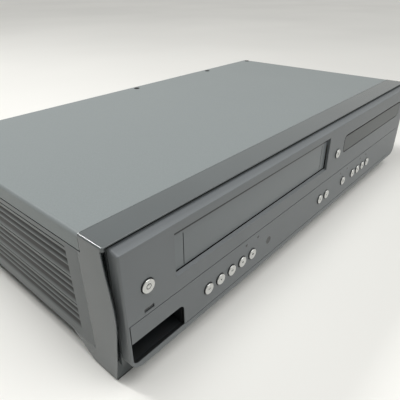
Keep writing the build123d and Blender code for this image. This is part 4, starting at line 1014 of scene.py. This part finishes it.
@dataclass
class Sockets:
    """The front and rear sockets: tinned shells with coloured cores, and threaded aerial sockets.

    The rows of the rear sockets list the material slots of their cores, block by block.
    """

    finishes: Finishes
    rear_panel: float = 113.1
    socket_proud: float = 7.92
    shell_radius: float = 4.3
    shell_chamfer: float = 0.15
    lip_width: float = 0.2
    lip_rise: float = 0.06
    bead_place: float = 1.0
    bead_depth: float = 0.12
    bead_reach: Span = (0.1, 0.2)
    shell_recess: float = 0.6
    core_radius: float = 3.4
    core_chamfer: float = 0.1
    core_rise: float = 0.05
    core_recess: float = 0.9
    bore: float = 1.75
    bore_rise: float = 0.02
    bore_chamfer: float = 0.15
    steps: int = 36
    pitch: float = 13.0
    first_x: Span = (-122.5, 67.5)
    rows_z: Span = (49.0, 36.0)
    rows: tuple[tuple[tuple[int, ...], ...], ...] = (
        ((1, 2, 3, 1, 3), (1, 2, 3, 2, 3)), ((4, 5, 3, 6), (1, 2, 3, 2)))
    aerial_x: float = -197.5
    aerial_z: Span = (34.0, 52.0)
    aerial_short: float = 1.0
    thread_crest: float = 5.0
    thread_root: float = 4.78
    thread_pitch: float = 0.7
    thread_lead: float = 0.3
    thread_recess: float = 0.4
    thread_mouth: Span = (2.6, 4.6)
    thread_end: float = 2.6
    nut_radius: float = 6.6
    nut_height: float = 1.9
    insulator: Span = (0.86, 2.55)
    insulator_recess: float = 0.8
    thread_steps: int = 40
    insulator_steps: int = 32
    front_count: int = 3
    pocket: tuple[Span, Span, Span] = ((-211.9, -170.3), (-117.6, -101.1), (17.7, 34.1))
    pocket_wall: float = 0.3

    def ring_socket(self, bm: Mesh, centre: Vector, axis: Vector, length: float, slot: int) -> None:
        """Make one shell with its core.

        Args:
            bm: the mesh that it joins.
            centre: where the shell meets its panel, in metres.
            axis: the way it points.
            length: how far it stands out, in millimetres.
            slot: the material slot of its core.
        """
        shell, core, bore = self.shell_radius, self.core_radius, self.bore
        lip, face, chamfer = length + self.lip_rise, length + self.core_rise, self.core_chamfer
        bead, waist = self.bead_place, shell - self.bead_depth
        flat, slope = self.bead_reach
        lathe(bm, [(core, length - self.shell_recess), (core, length), (core + self.lip_width, lip),
                   (shell - self.shell_chamfer, lip), (shell, length - chamfer), (shell, bead + slope),
                   (waist, bead + flat), (waist, bead - flat), (shell, bead - slope), (shell, 0.0),
                   (core, 0.0)], centre, axis, self.steps)
        lathe(bm, [(bore, length - self.core_recess), (bore, length + self.bore_rise),
                   (bore + self.bore_chamfer, face), (core - chamfer, face), (core, length - self.core_rise),
                   (core, length - self.core_recess)], centre, axis, self.steps, slot)

    def rear(self) -> None:
        """Make the shells on the rear panel."""
        bm = bmesh.new()
        for first_x, block in zip(self.first_x, self.rows):
            for z, slots in zip(self.rows_z, block):
                for column, slot in enumerate(slots):
                    centre = Vector((first_x + column * self.pitch, self.rear_panel, z)) * MM
                    self.ring_socket(bm, centre, TO_REAR, self.socket_proud, slot)
        finish_piece("rear_socket_shells", bm, "chassis",
                     [self.finishes.tin, *self.finishes.cores, self.finishes.tact_black])

    def aerials(self) -> None:
        """Make the threads, nuts and insulators of the two aerial sockets."""
        bm = bmesh.new()
        length = self.socket_proud - self.aerial_short
        rim, face = length + self.bore_rise, length + self.core_rise
        mouth, brim = self.thread_mouth
        pin, disc = self.insulator
        for z in self.aerial_z:
            centre = Vector((self.aerial_x, self.rear_panel, z)) * MM
            thread = [(mouth, length - self.thread_recess), (mouth, rim), (brim, rim)]
            crest = length - self.thread_lead
            while crest > self.thread_end:
                thread += [(self.thread_crest, crest), (self.thread_root, crest - self.thread_pitch / 2)]
                crest -= self.thread_pitch
            thread += [(self.thread_root, self.nut_height), (self.thread_root, 0.0)]
            lathe(bm, thread, centre, TO_REAR, self.thread_steps)
            prism(bm, 6, self.nut_radius, centre, TO_REAR, 0.0, self.nut_height)
            deep = length - self.insulator_recess
            ring = [(pin, deep), (pin, face), (disc, face), (disc, deep)]
            lathe(bm, ring, centre, TO_REAR, self.insulator_steps, 1)
        white = self.finishes.cores[1]
        finish_piece("aerial_threads", bm, "chassis", [self.finishes.tin, white])

    def shade_liner(self) -> None:
        """Line the front recess with a near-black box with an open front: painted shade inside the recess."""
        bm = bmesh.new()
        size = [(high - low) * MM for low, high in self.pocket]
        middle = [(low + high) / 2 * MM for low, high in self.pocket]
        place = Matrix.Translation(middle) @ Matrix.Diagonal((*size, 1.0))
        bmesh.ops.create_cube(bm, size=1.0, matrix=place)
        mouth = [face for face in bm.faces if face.normal.dot(TO_FRONT) > 0.9]
        bmesh.ops.delete(bm, geom=mouth, context="FACES")
        walls = bm.faces[:]
        bmesh.ops.reverse_faces(bm, faces=walls)
        bmesh.ops.solidify(bm, geom=walls, thickness=-self.pocket_wall * MM)
        bmesh.ops.recalc_face_normals(bm, faces=bm.faces[:])
        finish_piece("front_socket_liner", bm, "chassis", [self.finishes.shade_liner])

    def front(self) -> None:
        """Make the shells and cores of the sockets in the front recess."""
        bm = bmesh.new()
        low, high = ([value / MM for value in corner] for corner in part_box("front_av_jacks"))
        radius = (high[2] - low[2]) / 2
        pitch = (high[0] - low[0] - 2 * radius) / (self.front_count - 1)
        for number in range(self.front_count):
            base = Vector((low[0] + radius + number * pitch, high[1], (low[2] + high[2]) / 2)) * MM
            self.ring_socket(bm, base, TO_FRONT, high[1] - low[1], number + 1)
        finish_piece("front_socket_shells", bm, "chassis",
                     [self.finishes.black_zinc, *self.finishes.cores[:self.front_count]])

    def build(self) -> None:
        """Make all the sockets' own pieces."""
        self.rear()
        self.aerials()
        self.shade_liner()
        self.front()


@dataclass
class Screws:
    """Pan head screws with a cross recess."""

    finishes: Finishes
    head_radius: float = 3.1
    head_height: float = 0.6
    head_edge: float = 0.15
    dome: tuple[Span, ...] = ((0.6, 0.97), (0.85, 0.8), (0.97, 0.45))
    shank_radius: float = 1.45
    tip_radius: float = 0.9
    tip_length: float = 0.6
    recess_arm: float = 1.7
    recess_width: float = 0.6
    recess_depth: float = 0.42
    recess_turn: float = 0.4
    steps: int = 32
    lid_x: tuple[float, ...] = (-211.7, -3.3, 120.4, 211.7)
    lid_y: float = 108.4
    lid_z: float = 99.0
    lid_shank: float = 7.4
    rear_y: float = 113.1
    rear_shank: float = 3.0
    rear_places: tuple[Span, ...] = ((-160.0, 91.0), (-30.0, 91.0), (140.0, 91.0), (-150.0, 42.0),
                                     (-50.0, 42.0), (40.0, 42.0), (130.0, 42.0), (-197.5, 66.0),
                                     (205.0, 66.0))

    def blank(self, centre: Vector, axis: Vector, shank: float) -> Mesh:
        """Turn a screw without its recess.

        Args:
            centre: where its head meets the sheet, in metres.
            axis: the way its head points.
            shank: the length of its shank, in millimetres.

        Returns:
            Its mesh.
        """
        radius, height, tip = self.head_radius, self.head_height, -shank - self.tip_length
        dome = [(radius * across, height * along) for across, along in self.dome]
        bm = bmesh.new()
        lathe(bm, [(0.0, height), *dome, (radius, self.head_edge), (radius, 0.0), (self.shank_radius, 0.0),
                   (self.shank_radius, -shank), (self.tip_radius, tip), (0.0, tip)], centre, axis, self.steps)
        return bm

    def cross(self, centre: Vector, axis: Vector) -> Mesh:
        """Make the two crossed bars that cut the recess.

        Args:
            centre: where the screw's head meets the sheet, in metres.
            axis: the way its head points.

        Returns:
            Their mesh.
        """
        bm = bmesh.new()
        top = Matrix.Translation(centre + axis * (self.head_height * MM)) @ turned_to(axis)
        size = (2 * self.recess_arm, self.recess_width, 2 * self.recess_depth)
        bar = Matrix.Diagonal((*(length * MM for length in size), 1.0))
        for quarter in (0.0, math.pi / 2):
            turn = Matrix.Rotation(quarter + self.recess_turn, 4, "Z")
            bmesh.ops.create_cube(bm, size=1.0, matrix=top @ turn @ bar)
        return bm

    def screw(self, centre: Vector, axis: Vector, shank: float) -> Mesh:
        """Make one screw by cutting the cross out of the blank.

        Args:
            centre: where its head meets the sheet, in metres.
            axis: the way its head points.
            shank: the length of its shank, in millimetres.

        Returns:
            Its mesh.
        """
        items = []
        for name, bm in (("blank", self.blank(centre, axis, shank)), ("cross", self.cross(centre, axis))):
            item = bpy.data.objects.new(name, bpy.data.meshes.new(name))
            bm.to_mesh(item.data)
            bm.free()
            bpy.context.scene.collection.objects.link(item)
            items.append(item)
        carve = items[0].modifiers.new("recess", "BOOLEAN")
        carve.operation = "DIFFERENCE"
        carve.solver = "EXACT"
        carve.use_self = True
        carve.object = items[1]
        result = bmesh.new()
        result.from_object(items[0], bpy.context.evaluated_depsgraph_get())
        for item in items:
            mesh = item.data
            bpy.data.objects.remove(item)
            bpy.data.meshes.remove(mesh)
        return result

    def row(self, places: list[Vector], axis: Vector, shank: float) -> Mesh:
        """Set one screw at each place.

        Args:
            places: where their heads meet the sheet, in metres.
            axis: the way their heads point.
            shank: the length of their shanks, in millimetres.

        Returns:
            One mesh of them all.
        """
        whole = bmesh.new()
        for place in places:
            single = self.screw(place, axis, shank)
            carrier = bpy.data.meshes.new("screw_carrier")
            single.to_mesh(carrier)
            single.free()
            whole.from_mesh(carrier)
            bpy.data.meshes.remove(carrier)
        return whole

    def build(self) -> None:
        """Make the lid's dark screws and the rear panel's bright ones."""
        lid = [Vector((x, self.lid_y, self.lid_z)) * MM for x in self.lid_x]
        finish_piece("lid_screw_heads", self.row(lid, UPWARD, self.lid_shank), "chassis",
                     [self.finishes.black_zinc], "cover_screws")
        rear = [Vector((x, self.rear_y, z)) * MM for x, z in self.rear_places]
        finish_piece("rear_screw_heads", self.row(rear, TO_REAR, self.rear_shank), "chassis",
                     [self.finishes.zinc])


def main() -> None:
    """Build the deck's looks in order and report each step."""
    logging.basicConfig(level=logging.INFO, format="%(message)s")
    StudioSet().build()
    finishes = Finishes()
    for group in (Casing, Insides, PushButtons, Sockets, Screws):
        group(finishes).build()
        LOG.info("built %s", group.__name__)


if __name__ == "__main__":
    main()
